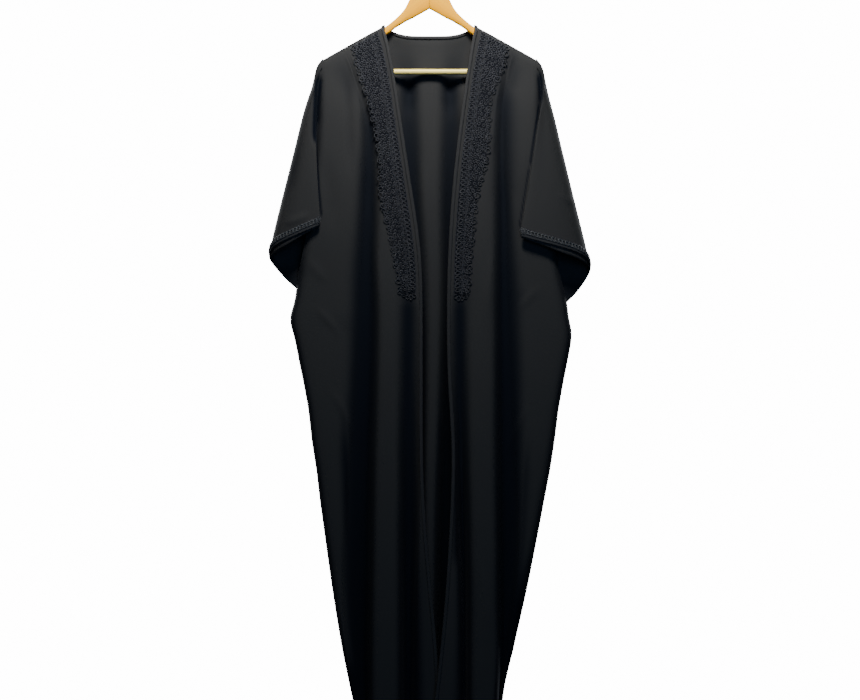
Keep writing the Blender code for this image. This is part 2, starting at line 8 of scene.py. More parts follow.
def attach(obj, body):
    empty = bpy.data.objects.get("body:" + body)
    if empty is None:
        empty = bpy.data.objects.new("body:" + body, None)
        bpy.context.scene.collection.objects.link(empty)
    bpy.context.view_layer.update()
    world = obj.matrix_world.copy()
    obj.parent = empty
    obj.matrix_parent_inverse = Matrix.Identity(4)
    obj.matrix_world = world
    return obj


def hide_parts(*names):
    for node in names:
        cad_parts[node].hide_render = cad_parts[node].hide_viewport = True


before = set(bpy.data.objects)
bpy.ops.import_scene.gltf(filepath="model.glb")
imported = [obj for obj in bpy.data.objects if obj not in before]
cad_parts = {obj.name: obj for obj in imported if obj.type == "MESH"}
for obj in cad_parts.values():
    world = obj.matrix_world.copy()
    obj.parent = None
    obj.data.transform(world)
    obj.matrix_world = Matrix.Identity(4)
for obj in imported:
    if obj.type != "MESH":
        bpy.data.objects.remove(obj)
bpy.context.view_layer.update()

mm = 0.001

# Every size is in millimetres. Out is the distance from the middle, drop is measured down
# from the inside of the hook, and depth is measured away from the hanger's plane.

cloak = {
    "thick": 1.5,         # of the crepe
    "trimThick": 0.9,     # of lace, braid and bindings
    "neckPoint": (91.0, 181.5),          # out and drop of the shoulder seam's two ends
    "shoulderTip": (226.0, 257.0),
    "neckScoop": 21.0,    # of the back neck, below the shoulder seams
    "neckTurn": 4.5,      # within this the cloth turns from the arm to the free neck
    "neckRows": 3.0,      # between the rows of cloth below the back neck
    "neckSag": 10.0,
    "wrapRadius": 11.0,   # over the wooden arm
    "wrapDrop": 12.6,
    "wrapAngles": (0, 30, 60, 90),
    "shoulderSeam": 0.9,  # between front and back on top of the arm
    "lap": 2.45,          # from the crepe of the body to the crepe of the sleeve over it
    "easeReach": 60.0,    # how far in from the side the outline's ease is felt
    "shiftReach": 60.0,   # and how far out the back's middle fold takes its neighbours along
    "tipStart": 213.0,    # the shoulder rounds off from here out
    "tipReach": 15.6,
    "tipFall": 14.0,
    "tipFades": (285.0, 345.0),
    "edgeStrip": 8.0,     # flat cloth beside a front edge
    "crown": 1.5,         # how far the cloth swells between two folds
    "sideCrown": 1.0,
    "crownShares": (0.35, 0.7),
    "backCrownShares": (0.24, 0.48, 0.535),
}


def foldTable(text):
    # a table written out: the columns' names, then its rows
    names, *rows = [line.split() for line in text.strip().splitlines()]
    return {name: [float(v) for v in column] for name, column in zip(names, zip(*rows))}


def creaseTable(text):
    # each crease runs from one out and height to another, with its rise, its width and how far it
    # bows, how long its ends fade, how steep one flank is and how much painted shade darkens it
    found = foldTable(text)
    return [dict(zip(found, row)) for row in zip(*found.values())]


def lerp(a, b, t):
    return a + (b - a) * t


def ramp(value, start, stop):
    return np.clip((value - start) / (stop - start), 0, 1)


def unit(arrows, guard=0.0):
    # a small guard keeps an arrow without length from dividing by nothing
    return arrows / (np.linalg.norm(arrows, axis=-1, keepdims=True) + guard)


def runLength(line):
    # how far along a line each of its points lies
    return np.concatenate([[0], np.cumsum(np.linalg.norm(np.diff(line, axis=0), axis=1))])


def at(rows, column, drop):
    # a smooth curve through the column's values that never overshoots them
    x = np.array(rows["drop"], float)
    y = np.array(rows[column], float)
    slope = np.diff(y) / np.diff(x)
    tangent = np.concatenate([slope[:1], (slope[:-1] + slope[1:]) / 2, slope[-1:]])
    tangent[1:-1][slope[:-1] * slope[1:] <= 0] = 0
    before, after = np.concatenate([slope[:1], slope]), np.concatenate([slope, slope[-1:]])
    limit = 3 * np.minimum(np.abs(before), np.abs(after))
    tangent = np.clip(tangent, -limit, limit)
    drop = min(max(drop, x[0]), x[-1])
    i = min(int(np.searchsorted(x, drop, side="right")) - 1, len(slope) - 1)
    width = x[i + 1] - x[i]
    t = (drop - x[i]) / width
    return float(
        y[i] * (1 + 2 * t) * (1 - t) ** 2 + tangent[i] * width * t * (1 - t) ** 2
        + y[i + 1] * t * t * (3 - 2 * t) + tangent[i + 1] * width * t * t * (t - 1)
    )


leftFront = foldTable("""
    drop edge nearIn nearOut nearFloor mainIn mainOut mainFloor side edgeDepth
    180 91 113 166 11 174 190 11 226 11
    270 73 91 143 16 149 161 15 226 15
    390 55 73 101 21 105 137 14 226 20
    520 35 54 92 25 99 142 12 234 25
    650 17 35 74 28 103 147 12 255 30
    780 15 20 60 27 101 152 12 278 34
    900 15 19 61 24 104 159 12 255 37
    1030 15 18 61 22 109 164 12 236 40
    1170 10 19 60 19 112 172 12 215 42
    1330 -5 27 57 16 116 176 13 191 40
    1470 -17 28 56 15 118 157 15 165 42
    1610 -21 32 55 15 118 130 16 136 44
""")

rightFront = foldTable("""
    drop edge nearIn nearOut nearFloor mainIn mainOut mainFloor side edgeDepth
    180 91 113 162 11 172 190 11 226 11
    270 77 92 141 16 149 163 15 226 15
    390 60 78 122 21 130 156 14 224 20
    520 46 64 94 25 129 165 12 230 25
    650 38 54 83 28 129 167 12 254 30
    780 36 41 78 27 129 170 13 279 34
    900 38 42 78 24 130 175 13 262 38
    1030 47 50 77 22 131 177 14 245 44
    1170 42 52 79 17 134 181 15 219 48
    1330 32 63 78 12 137 169 16 188 54
    1470 18 65 77 13 139 148 17 156 59
    1610 1 67 77 16 134 137 19 140 63
""")

frontBody = foldTable("""
    drop ridge flat roll end wall
    180 11 11 10 11 8
    270 16 11 14 6 8
    330 19 18 15 5 9
    390 21 21 14 8 9
    450 23 23 12 14 11
    520 26 25 12 20 12
    600 29 25 12 20 12
    660 31 23 14 14 12
    710 33 22 17 -0.6 12
    780 35 22 14 -0.6 12
    1030 44 23 12 -0.6 10
    1330 54 23 12 -0.6 6
    1610 62 19 8 -0.6 4
""")

backFolds = foldTable("""
    drop leftOut leftIn leftFloor middle middleFloor rightIn rightOut rightFloor ridge
    180 175 134 11 16 11 134 175 11 11
    270 160 132 17 15 12 132 160 17 18
    390 150 112 16 14 11 120 155 17 24
    520 158 110 14 13 10 118 160 15 28
    650 165 108 13 12 10 118 168 13 32
    780 168 108 12 11 11 116 170 12 36
    900 162 106 12 11 11 112 164 12 40
    1030 150 103 12 11 11 108 152 12 44
    1170 136 98 13 10 12 102 138 13 49
    1330 122 92 14 10 13 95 120 14 54
    1470 108 86 15 10 14 88 106 15 58
    1610 96 80 16 10 15 80 94 16 62
""")

middleWall = foldTable("""
    drop wall
    180 26
    520 24
    900 18
    1610 12
""")

bodyRows = foldTable("""
    centre left right
    215 290 290
    258 318 318
    310 352 352
    375 398 398
    445 455 455
    515 518 522
    585 585 592
    655 650 664
    722 710 736
    785 776 794
    855 850 860
    935 935 935
    1030 1030 1030
    1130 1130 1130
    1230 1230 1230
    1330 1330 1330
    1430 1430 1430
    1520 1520 1520
    1610 1610 1610
""")

middleShift = foldTable("""
    drop shift
    180 0
    520 4
    730 10
    930 7
    1130 1
    1330 0
    1610 0
""")

sleeveEase = foldTable("""
    drop left right
    250 6.0 1.0
    282 9.0 5.0
    330 6.0 5.0
    378 1.4 7.6
    474 1.2 7.0
    570 2.0 4.6
    610 3.0 3.6
    634 0.4 2.6
    660 0.0 2.2
    690 5.0 6.4
    734 8.0 12.0
""")

bodyEase = foldTable("""
    drop left right
    690 0.0 0.0
    726 -1.6 2.0
    740 -0.4 2.4
    762 3.8 2.2
    776 3.6 4.6
    786 1.6 6.8
    798 -1.4 8.0
    812 -3.4 8.2
    830 -4.4 7.2
    890 -5.6 4.2
    950 -5.8 2.0
    1010 -3.4 3.0
    1070 -4.0 3.4
    1130 -2.0 2.8
    1310 0.0 2.6
    1430 1.4 2.0
    1500 0.8 -2.6
    1610 0.0 -3.0
""")

laceEdge = foldTable("""
    drop left right petals
    180 151 154 13
    230 143 147 13
    270 133 134 13
    330 118 118 14
    430 99 115 15
    530 94 92 18
    590 80 86 18
    650 68 80 17
    690 61 77.5 17
    740 57 74 16
""")

# where the front flap of a sleeve turns, and its open end from the front seam round to the back one
leftFlap = foldTable("""
    drop inner outer
    262 229.5 231
    290 229.5 234
    350 229 249
    430 225 270
    530 219 295
    580 215 307
    640 215 321
""")

leftRim = foldTable("""
    out drop depth
    247 608 25
    232 598 31
    219 588 33
    215 580 35
    220 583 37.5
    247 594 39
    282 610 35
    311 624 20
    321 641 1
    316 655 -14
    300 674 -18
    283 692 -19
    264 708 -12
""")

rightFlap = foldTable("""
    drop inner outer
    262 229.5 231
    290 229.5 233
    325 225 237.5
    370 217 245
    470 201 269
    550 187 290
    602 176 305
    656 176 319
""")

rightRim = foldTable("""
    out drop depth
    250 634 25
    215 620 31
    181 608 36
    176 602 40
    182 605 43
    220 615 43
    266 627 38
    304 639 22
    319 657 1
    318 673 -14
    305 695 -18
    289 716 -19
    271 734 -12
""")

sleeveShape = {
    "shares": (0.07, 0.16, 0.28, 0.42, 0.57, 0.72, 0.84, 0.925, 1.0),    # of the way to the rim
    "innerFold": 3,              # the columns at which the flap turns
    "outerFold": 8,
    "head": 26.0,                # half the length of the sleeve head
    "headRows": (213.0, 221.0, 228.6),
    "headSeam": 218.0,
    "seamShares": {0: 1.0, 1: 0.7, 2: 0.3},
    "headClear": 1.0,
    "layers": (1.4, 3.8, 4.0, 5.4, 7.2),    # off the body, column by column
    "clear": 1.5,
    "seamLap": 7.0,              # near the cuff the seam allowance laps on to the body
    "lapDrops": (520.0, 620.0),
}
wraps = len(cloak["wrapAngles"])
armholeRow = wraps + 8
settleTimes = 5      # a row slants, so a point's drop and its place across are found in turns
sides = {"left": -1, "right": 1}
fronts = {"left": leftFront, "right": rightFront}
flaps = {"left": leftFlap, "right": rightFlap}
rims = {"left": leftRim, "right": rightRim}


def shoulderDrop(out):
    neck, tip = cloak["neckPoint"], cloak["shoulderTip"]
    return lerp(neck[1], tip[1], ramp(abs(out), neck[0], tip[0]))


def valley(start, stop, top, floor, wall):
    # the four fold lines of one valley in the cloth
    wall = min(wall, abs(stop - start) / 3)
    step = math.copysign(wall, stop - start)
    return [(start, top), (start + step, floor), (stop - step, floor), (stop, top)]


def seamRoll(side, roll, flat, end):
    # beside a closed seam the cloth ends square to it
    openShare = ramp(end, 0, 5)
    return [
        (side - roll, flat),
        (side - roll * lerp(0.3, 0.6, openShare), lerp(end, flat, lerp(0.8, 0.75, openShare))),
        (side - roll * lerp(0, 0.3, openShare), lerp(end, flat, 0.35)),
        (side, end),
    ]


def frontSection(rows, drop):
    # the fold lines of a front at one drop, from its front edge to its side
    edge, nearIn, nearOut, nearFloor, mainIn, mainOut, mainFloor, side, edgeDepth = (
        at(rows, name, drop) for name in list(rows)[1:]
    )
    ridge, flat, roll, end, wall = (at(frontBody, name, drop) for name in list(frontBody)[1:])
    strip = min(cloak["edgeStrip"], (nearIn - edge) * 0.6)
    roll = min(roll, (side - mainOut) * 0.6)
    near = valley(nearIn, nearOut, ridge, nearFloor, wall)
    near[0] = (nearIn, lerp(edgeDepth, ridge, 0.5))
    main = valley(mainIn, mainOut, ridge, mainFloor, wall)
    main[3] = (mainOut, flat)
    return (
        [(edge, edgeDepth), (edge + strip, edgeDepth)]
        + near
        + [(lerp(nearOut, mainIn, t), ridge + cloak["crown"]) for t in cloak["crownShares"]]
        + main[:2]
        + [(lerp(main[1][0], main[2][0], 0.5), mainFloor - cloak["sideCrown"])]
        + main[2:]
        + [(lerp(mainOut, side - roll, t), flat + cloak["sideCrown"]) for t in cloak["crownShares"]]
        + seamRoll(side, roll, flat, end)
    )


def backHalf(side, drop):
    # the fold lines of half the back at one drop, from the middle to its side
    foldIn, foldOut, floor = (at(backFolds, side + name, drop) for name in ("In", "Out", "Floor"))
    middle, middleFloor, ridge = (at(backFolds, name, drop) for name in ("middle", "middleFloor", "ridge"))
    edge = at(fronts[side], "side", drop)
    flat, roll, end, wall = (at(frontBody, name, drop) for name in ("flat", "roll", "end", "wall"))
    firstRidge = middle + at(middleWall, "wall", drop)
    return (
        [(0, middleFloor), (middle, middleFloor)]
        + [(lerp(middle, firstRidge, 0.6), lerp(middleFloor, ridge, 0.7)), (firstRidge, ridge)]
        + [(lerp(firstRidge, foldIn, t), ridge + cloak["crown"]) for t in cloak["backCrownShares"]]
        + valley(foldIn, foldOut, ridge, floor, wall)[:3]
        + [(foldOut, flat), (lerp(foldOut, edge - roll, 0.5), flat + cloak["sideCrown"])]
        + seamRoll(edge, roll, flat, end)
    )


def wrapped(angle, depth):
    # over the shoulder the cloth turns round the wooden arm
    turn = math.radians(angle)
    return cloak["wrapDrop"] * (1 - math.cos(turn)), max(depth * math.sin(turn), cloak["shoulderSeam"] / 2)


def frontRow(side, row):
    # one row of a front's fold lines; below the shoulder it slants from the middle to the side
    if row < wraps:
        ends = cloak["neckPoint"][1], cloak["shoulderTip"][1]
    else:
        ends = bodyRows["centre"][row - wraps], bodyRows[side][row - wraps]
    points = []
    columns = len(frontSection(fronts[side], ends[0]))
    for column in range(columns):
        share = column / (columns - 1)
        for _ in range(settleTimes):
            drop = lerp(*ends, share)
            section = frontSection(fronts[side], drop)
            out, depth = section[column]
            share = (out - section[0][0]) / (section[-1][0] - section[0][0])
        if row < wraps:
            extra, depth = wrapped(cloak["wrapAngles"][row], cloak["wrapRadius"])
            drop += extra
        points.append((sides[side] * out, -depth, -drop))
    return points


def backTop(out, row):
    # over the arm on the shoulder, hanging free behind the neck
    extra, depth = wrapped(cloak["wrapAngles"][row], cloak["wrapRadius"])
    neck = cloak["neckPoint"][0]
    free = ramp(out, neck, neck - cloak["neckTurn"])
    scoop = cloak["neckScoop"] * (1 - min(out / neck, 1) ** 4) ** 0.8
    drop = shoulderDrop(out) + lerp(extra, scoop + cloak["neckRows"] * row, free)
    return out, lerp(depth, cloak["wrapRadius"], free), drop


def backRow(row):
    # one row of the back's fold lines, from the left side to the right
    neck, tip = cloak["neckPoint"][0], cloak["shoulderTip"][0]
    halves = {}
    for side in sides:
        halves[side] = []
        columns = len(backHalf(side, bodyRows[side][0]))
        for column in range(columns):
            share = column / (columns - 1)
            for _ in range(settleTimes):
                if row < wraps:
                    drop = shoulderDrop(share * tip)
                else:
                    tilt = max((share * tip - neck) / (tip - neck), 0)
                    drop = lerp(bodyRows["centre"][row - wraps], bodyRows[side][row - wraps], tilt)
                section = backHalf(side, drop)
                out, depth = section[column]
                share = out / section[-1][0]
            if row < wraps:
                out, depth, drop = backTop(out, row)
            elif row == wraps and out < neck:
                drop += cloak["neckSag"] * (1 - (out / neck) ** 2)
            halves[side].append((sides[side] * out, depth, -drop))
    return halves["left"][:0:-1] + halves["right"]


def netNormals(net, sign):
    # away from the cloth at each point, longer at a sharp fold so that its sides keep their distance
    longest = 1.6
    facets = np.cross(net[:-1, 1:] - net[1:, :-1], net[1:, 1:] - net[:-1, :-1]) * sign
    facets /= np.linalg.norm(facets, axis=2, keepdims=True) + 1e-12
    rows, columns = net.shape[:2]
    found = np.zeros_like(net)
    for i in (0, 1):
        for j in (0, 1):
            found[i : rows - 1 + i, j : columns - 1 + j] += facets
    count = np.full((rows, columns, 1), 4.0)
    count[[0, -1]] /= 2
    count[:, [0, -1]] /= 2
    length = np.linalg.norm(found, axis=2, keepdims=True) + 1e-9
    return found / length * np.minimum(count / length, longest)


def laidOn(panel, distance, sign):
    # the rows beside the armhole, moved off the cloth
    net = panel[wraps - 1 : armholeRow + 2]
    return net + netNormals(net, sign) * distance


def onPath(path, z):
    # where a line down the cloth passes a height
    order = np.argsort(path[:, 2])
    return tuple(float(np.interp(z, path[order, 2], path[order, axis])) for axis in range(3))


def depthOver(cover, out, z):
    # how far forward a sleeve must lie at a place to clear the cloth under it
    crossed = np.array([onPath(cover[:, column], z) for column in range(cover.shape[1])])
    outs = np.maximum.accumulate(np.abs(crossed[:, 0]))
    if out > outs[-1] + sleeveShape["clear"]:
        return None
    return float(np.interp(out, outs, -crossed[:, 1]))


def tipFall(out):
    # the cloth rounds off over the end of the wooden arm
    share = np.clip((np.abs(out) - cloak["tipStart"]) / cloak["tipReach"], 0, 1.2)
    return cloak["tipFall"] * share**2


def settled(net):
    # the panel with its shoulder lowered over the end of the arm, fading out below it
    net = np.array(net, float)
    net[..., 2] -= tipFall(net[..., 0]) * (1 - ramp(-net[..., 2], *cloak["tipFades"]))
    return net


def letOut(net, side, moves, inner, outer):
    # moves the cloth sideways towards its folded edge, by a different amount at each drop
    net = np.array(net, float)
    drop = -net[..., 2]
    part = ramp(net[..., 0] * sides[side], inner(drop), outer(drop))
    net[..., 0] += sides[side] * np.interp(drop, moves["drop"], moves[side]) * part**2
    return net


def lineOf(table, column):
    return lambda drop: np.interp(drop, table["drop"], table[column])


def letOutSleeve(net, side):
    return letOut(net, side, sleeveEase, lineOf(flaps[side], "inner"), lineOf(flaps[side], "outer"))


def letOutBody(net, side):
    outer = lineOf(fronts[side], "side")
    return letOut(net, side, bodyEase, lambda drop: outer(drop) - cloak["easeReach"], outer)


def sleeveHead(count, side, out):
    # an arch over the end of the shoulder, drawn in to the seam at both ends
    top = shoulderDrop(out) - cloak["lap"]
    radius = cloak["wrapRadius"] + cloak["lap"] + sleeveShape["headClear"]
    quarter = radius * math.pi / 2
    points = []
    for column in range(count):
        along = lerp(sleeveShape["head"], -sleeveShape["head"], column / (count - 1))
        turn = min(abs(along) / quarter, 1) * math.pi / 2
        drop = top + (cloak["wrapDrop"] + cloak["lap"]) * (1 - math.cos(turn)) + max(abs(along) - quarter, 0)
        seam = sleeveShape["seamShares"].get(min(column, count - 1 - column), 0)
        place = lerp(out, min(out, sleeveShape["headSeam"]), seam)
        points.append((sides[side] * place, -math.copysign(radius * math.sin(turn), along), -drop))
    return points


def sleeveNet(side, front, back):
    # rows from the head to the rim, columns from the front seam round the flap to the back seam
    sign, folds, rim = sides[side], flaps[side], rims[side]
    count, inner = len(rim["out"]), sleeveShape["innerFold"]
    net = [sleeveHead(count, side, out) for out in sleeveShape["headRows"]]
    head = net[-1]
    covers = [laidOn(front, cloak["lap"] + layer, -sign) for layer in sleeveShape["layers"]]
    frontSeam = covers[0][:, -2]
    backSeam = laidOn(back, cloak["lap"] + sleeveShape["layers"][0], 1)[:, 1 if side == "left" else -2]
    for share in sleeveShape["shares"]:
        row = []
        for column in range(count):
            drop = lerp(-head[column][2], rim["drop"][column], share)
            depth = lerp(-head[column][1], rim["depth"][column], share ** 0.8)
            rimDrop = rim["drop"][column]
            rimInner, rimOuter = at(folds, "inner", rimDrop), at(folds, "outer", rimDrop)
            part = (rim["out"][column] - rimInner) / (rimOuter - rimInner)
            row.append((sign * lerp(at(folds, "inner", drop), at(folds, "outer", drop), part), -depth, -drop))
        for column, seam, facing in ((0, frontSeam, 1), (-1, backSeam, -1)):
            x, y, z = onPath(seam, row[column][2])
            lap = ramp(-z, *sleeveShape["lapDrops"])
            row[column] = (x - sign * sleeveShape["seamLap"] * lap, y + facing * lap, z)
        for column in range(1, sleeveShape["outerFold"] - 1):
            x, y, z = row[column]
            if column < inner:
                x = lerp(row[0][0], row[inner][0], column / inner)
                y = lerp(row[0][1], row[inner][1], column / inner)
            depth = depthOver(covers[min(column, inner + 1)], abs(x), z)
            row[column] = (x, y if depth is None else min(y, -depth), z)
        net.append(row)
    return np.array(net)


def weights(count, places):
    # how much each fold line counts at a place, for a soft curve along them
    places = np.asarray(places, float)
    first = np.clip(np.floor(places).astype(int), 0, count - 2)
    t = places - first
    parts = (
        (1 - t) ** 3 / 6,
        (3 * t**3 - 6 * t**2 + 4) / 6,
        (-3 * t**3 + 3 * t**2 + 3 * t + 1) / 6,
        t**3 / 6,
    )
    found = np.zeros((len(places), count))
    line = np.arange(len(places))
    for step, part in zip((-1, 0, 1, 2), parts):
        index = first + step
        below, above = index < 0, index > count - 1
        inside = ~(below | above)
        np.add.at(found, (line[inside], index[inside]), part[inside])
        np.add.at(found, (line[below], 0), 2 * part[below])
        np.add.at(found, (line[below], 1), -part[below])
        np.add.at(found, (line[above], count - 1), 2 * part[above])
        np.add.at(found, (line[above], count - 2), -part[above])
    return found


def smoothNet(net, columns, rows):
    return np.einsum("rk,kcx,sc->rsx", weights(net.shape[0], rows), net, weights(net.shape[1], columns))


def nearCrease(points, crease):
    # how close each point lies to a crease, from 0 to 1, fading at both ends
    x, z = points[..., 0], points[..., 2]
    x0, z0, x1, z1 = (crease[name] for name in ("out", "height", "toOut", "toHeight"))
    length = math.hypot(x1 - x0, z1 - z0)
    along = ((x1 - x0) / length, (z1 - z0) / length)
    t = ((x - x0) * along[0] + (z - z0) * along[1]) / length
    bow = crease["bow"] * np.sin(np.clip(t, 0, 1) * math.pi)
    away = (z - z0) * along[0] - (x - x0) * along[1] - bow
    fade = np.clip(np.minimum(t, 1 - t) / crease["fade"], 0, 1)
    fade = fade * fade * (3 - 2 * fade)
    width = crease["width"] * (0.7 + 0.3 * fade)
    steep = np.where(away > 0, width, width * crease["steep"])
    return fade * np.exp(-((away / steep) ** 2))


def creased(points, table):
    # listed creases: soft ridges, or troughs where the rise is negative
    points = np.array(points, float)
    for crease in table:
        points[..., 1] -= crease["rise"] * nearCrease(points, crease)
    return points


def finishPiece(piece, slot, material, *nodes):
    # its material, soft shading except on flat end caps, and what it stands for
    bpy.context.view_layer.objects.active = piece
    piece.data.materials.clear()
    piece.data.materials.append(material)
    for face in piece.data.polygons:
        face.use_smooth = face.loop_total <= 4
    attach(piece, "root")
    if nodes:
        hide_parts(*nodes)
    return piece


def pick(*pieces):
    bpy.ops.object.select_all(action="DESELECT")
    for piece in pieces:
        piece.select_set(True)
    if pieces:
        bpy.context.view_layer.objects.active = pieces[0]


def applyAll(piece):
    pick(piece)
    for modifier in list(piece.modifiers):
        bpy.ops.object.modifier_apply(modifier=modifier.name)


def flatGrid(name, net, sign):
    # a grid plane pulled into the shape of the net, with its own map in metres of cloth
    rows, columns = net.shape[:2]
    pick()
    bpy.ops.mesh.primitive_grid_add(x_subdivisions=columns - 1, y_subdivisions=rows - 1, size=1)
    piece = bpy.context.object
    piece.name = name
    mesh = piece.data
    places = net[::-1] if sign > 0 else net[::-1, ::-1]
    mesh.vertices.foreach_set("co", (places * mm).reshape(-1).astype(np.float32))
    across = np.stack([runLength(line) for line in net])
    down = np.stack([runLength(line) for line in net.swapaxes(0, 1)], axis=1)
    spread = np.stack([across, down], axis=2) * mm
    spread = (spread[::-1] if sign > 0 else spread[::-1, ::-1]).reshape(-1, 2)
    loops = np.empty(len(mesh.loops), np.int32)
    mesh.loops.foreach_get("vertex_index", loops)
    mesh.uv_layers[0].data.foreach_set("uv", spread[loops].reshape(-1).astype(np.float32))
    mesh.update()
    return piece


def thicken(piece, thick):
    # gives a sheet its wall, half to each side
    wall = piece.modifiers.new("wall", "SOLIDIFY")
    wall.thickness = thick * mm
    wall.offset = 0
    wall.use_even_offset = True
    wall.thickness_clamp = 1.5
    applyAll(piece)
    return piece


def cutSize(net):
    # width and length of the cloth before it was sewn, in metres
    wide = np.linalg.norm(np.diff(net, axis=1), axis=2).sum(axis=1).max()
    long = np.linalg.norm(np.diff(net, axis=0), axis=2).sum(axis=0).max()
    facets = np.cross(net[1:, 1:] - net[:-1, :-1], net[1:, :-1] - net[:-1, 1:])
    area = np.linalg.norm(facets, axis=2).sum() / 2
    return (wide * mm, long * mm), area * mm * mm


def declared(piece, net, pieces=()):
    flat, area = cutSize(net)
    area = min(area, 0.999 * flat[0] * flat[1])
    print(piece.name, "is cut", [round(v, 3) for v in flat])


class Socket:
    # wraps a socket so that shader maths reads as plain sums
    def __init__(self, tree, link=None):
        self.tree, self.link = tree, link

    def node(self, kind, settings=None, **inputs):
        made = self.tree.nodes.new(kind)
        for name, value in (settings or {}).items():
            setattr(made, name, value)
        for name, value in inputs.items():
            number = name[0] == "i" and name[1:].isdigit()
            socket = made.inputs[int(name[1:]) if number else name.replace("_", " ")]
            if isinstance(value, Socket):
                self.tree.links.new(value.link, socket)
            else:
                socket.default_value = value
        return made

    def get(self, kind, output, settings=None, **inputs):
        return Socket(self.tree, self.node(kind, settings, **inputs).outputs[output])

    def maths(self, operation, other=0.0):
        return self.get("ShaderNodeMath", 0, {"operation": operation}, i0=self, i1=other)

    def __add__(self, other):
        return self.maths("ADD", other)

    def __sub__(self, other):
        return self.maths("SUBTRACT", other)

    def __rsub__(self, other):
        return self * -1 + other

    def __mul__(self, other):
        return self.maths("MULTIPLY", other)

    __radd__ = __add__
    __rmul__ = __mul__

    def smooth(self, low, high):
        soft = {"interpolation_type": "SMOOTHSTEP"}
        return self.get("ShaderNodeMapRange", 0, soft, Value=self, From_Min=low, From_Max=high)

    def into(self, shader, name):
        self.tree.links.new(self.link, shader.inputs[name])


def newMaterial(name, **fixed):
    material = bpy.data.materials.new(name)
    material.use_nodes = True
    shader = material.node_tree.nodes["Principled BSDF"]
    for socket, value in fixed.items():
        shader.inputs[socket.replace("_", " ")].default_value = value
    return material, shader, Socket(material.node_tree)


def placeOn(base, output):
    return base.get("ShaderNodeTexCoord", output)


def noiseAt(base, place, scale, detail=2.0):
    return base.get("ShaderNodeTexNoise", "Fac", None, Vector=place, Scale=scale, Detail=detail)


def splitPlace(base, place):
    made = base.node("ShaderNodeSeparateXYZ", None, Vector=place)
    return [Socket(base.tree, made.outputs[i]) for i in range(3)]


def joinPlace(base, x, y, z):
    return base.get("ShaderNodeCombineXYZ", 0, None, X=x, Y=y, Z=z)


def mixColour(base, share, first, second):
    return base.get("ShaderNodeMix", 2, {"data_type": "RGBA"}, i0=share, i6=first, i7=second)


def bumpOn(base, shader, height, distance):
    bump = base.get("ShaderNodeBump", "Normal", None, Height=height, Distance=distance)
    bump.into(shader, "Normal")


def crepeCloth():
    # a matte double crepe: fine pebbled grain with a faint slanted twill, hardly any shine, and painted shade
    # in its folds
    look = {
        "light": (0.0330, 0.0330, 0.0322, 1),
        "dark": (0.0270, 0.0275, 0.0280, 1),
        # the navy colour that painted shade gives the cloth at the bottom of its folds
        "fold": (0.0020, 0.0040, 0.0082, 1),
        "sheen": (0.55, 0.6, 0.72, 1),
        "grain": 1500,
        "cloud": 9.0,
        "twill": 3800,
        "twillLean": (0.82, 0.57),
        "bump": 0.00012,
    }
    sheen = dict(Sheen_Weight=0.03, Sheen_Roughness=0.45, Sheen_Tint=look["sheen"])
    material, shader, base = newMaterial("black crepe", Specular_IOR_Level=0.08, **sheen)
    place = placeOn(base, "UV")
    x, y, _ = splitPlace(base, place)
    grain = noiseAt(base, place, look["grain"])
    cloud = noiseAt(base, place, look["cloud"], 3.0)
    twill = ((x * look["twillLean"][0] + y * look["twillLean"][1]) * look["twill"]).maths("SINE")
    colour = mixColour(base, grain * 0.5 + cloud * 0.5, look["dark"], look["light"])
    # painted shade: the fold attribute darkens the colour towards navy in the folds
    fold = base.get("ShaderNodeAttribute", "Fac", {"attribute_name": "fold"})
    mixColour(base, fold.smooth(0.0, 1.0), colour, look["fold"]).into(shader, "Base Color")
    (cloud * 0.12 + 0.74).into(shader, "Roughness")
    bumpOn(base, shader, grain * 0.7 + twill * 0.12, look["bump"])
    return material


def threadLook(name, light, dark, rough, scale):
    material, shader, base = newMaterial(name, Roughness=rough, Specular_IOR_Level=0.16)
    strand = noiseAt(base, placeOn(base, "Object"), scale)
    mixColour(base, strand.smooth(0.3, 0.7), (*dark, 1), (*light, 1)).into(shader, "Base Color")
    bumpOn(base, shader, strand, 0.0003)
    return material


crepe = crepeCloth()
laceThread = threadLook("lace thread", (0.036, 0.038, 0.043), (0.017, 0.018, 0.022), 0.6, 900)
laceGround = threadLook("lace net", (0.0085, 0.0098, 0.0135), (0.0042, 0.0052, 0.008), 0.9, 700)
cuffGround = threadLook("cuff net", (0.028, 0.030, 0.032), (0.018, 0.019, 0.021), 0.75, 700)
cuffThread = threadLook("cuff thread", (0.082, 0.086, 0.088), (0.046, 0.049, 0.052), 0.55, 900)
bindingLook = threadLook("crepe binding", (0.027, 0.027, 0.027), (0.020, 0.0205, 0.021), 0.6, 1400)
print("materials made")


rowCount = wraps + len(bodyRows["centre"])
coarse = {"back": np.array([backRow(row) for row in range(rowCount)])}
for line in coarse["back"]:
    near = np.exp(-((line[:, 0] / cloak["shiftReach"]) ** 2))
    line[:, 0] += at(middleShift, "shift", -line[:, 2].mean()) * near
for side in sides:
    coarse[side] = np.array([frontRow(side, row) for row in range(rowCount)])
    coarse["sleeve" + side] = sleeveNet(side, coarse[side], coarse["back"])
coarse = {name: settled(net) for name, net in coarse.items()}
for side in sides:
    coarse["sleeve" + side] = letOutSleeve(coarse["sleeve" + side], side)

panels = {
    "frontColumns": 105,
    "backColumns": 151,
    "rows": 205,
    "sleeveColumns": 97,
    "sleeveRows": 90,
    "topRows": 25,                   # of them over the shoulder
    "ridgeReach": 40.0,              # a fold's depth is measured from the ridges this near
    "halfDark": 6.5,                 # a fold this deep gets half the painted shade of the deepest
    "foldBlur": 7.0,
    "cuffShade": (58.0, 23.0),       # painted shade darkens the inside of a cuff between these heights above its rim
    # how dark that painted shade inside a cuff gets
    "cuffDark": 0.7,
    "backShade": (360.0, 620.0),     # the painted fold shade on the outer face of the back fades in between these drops
}


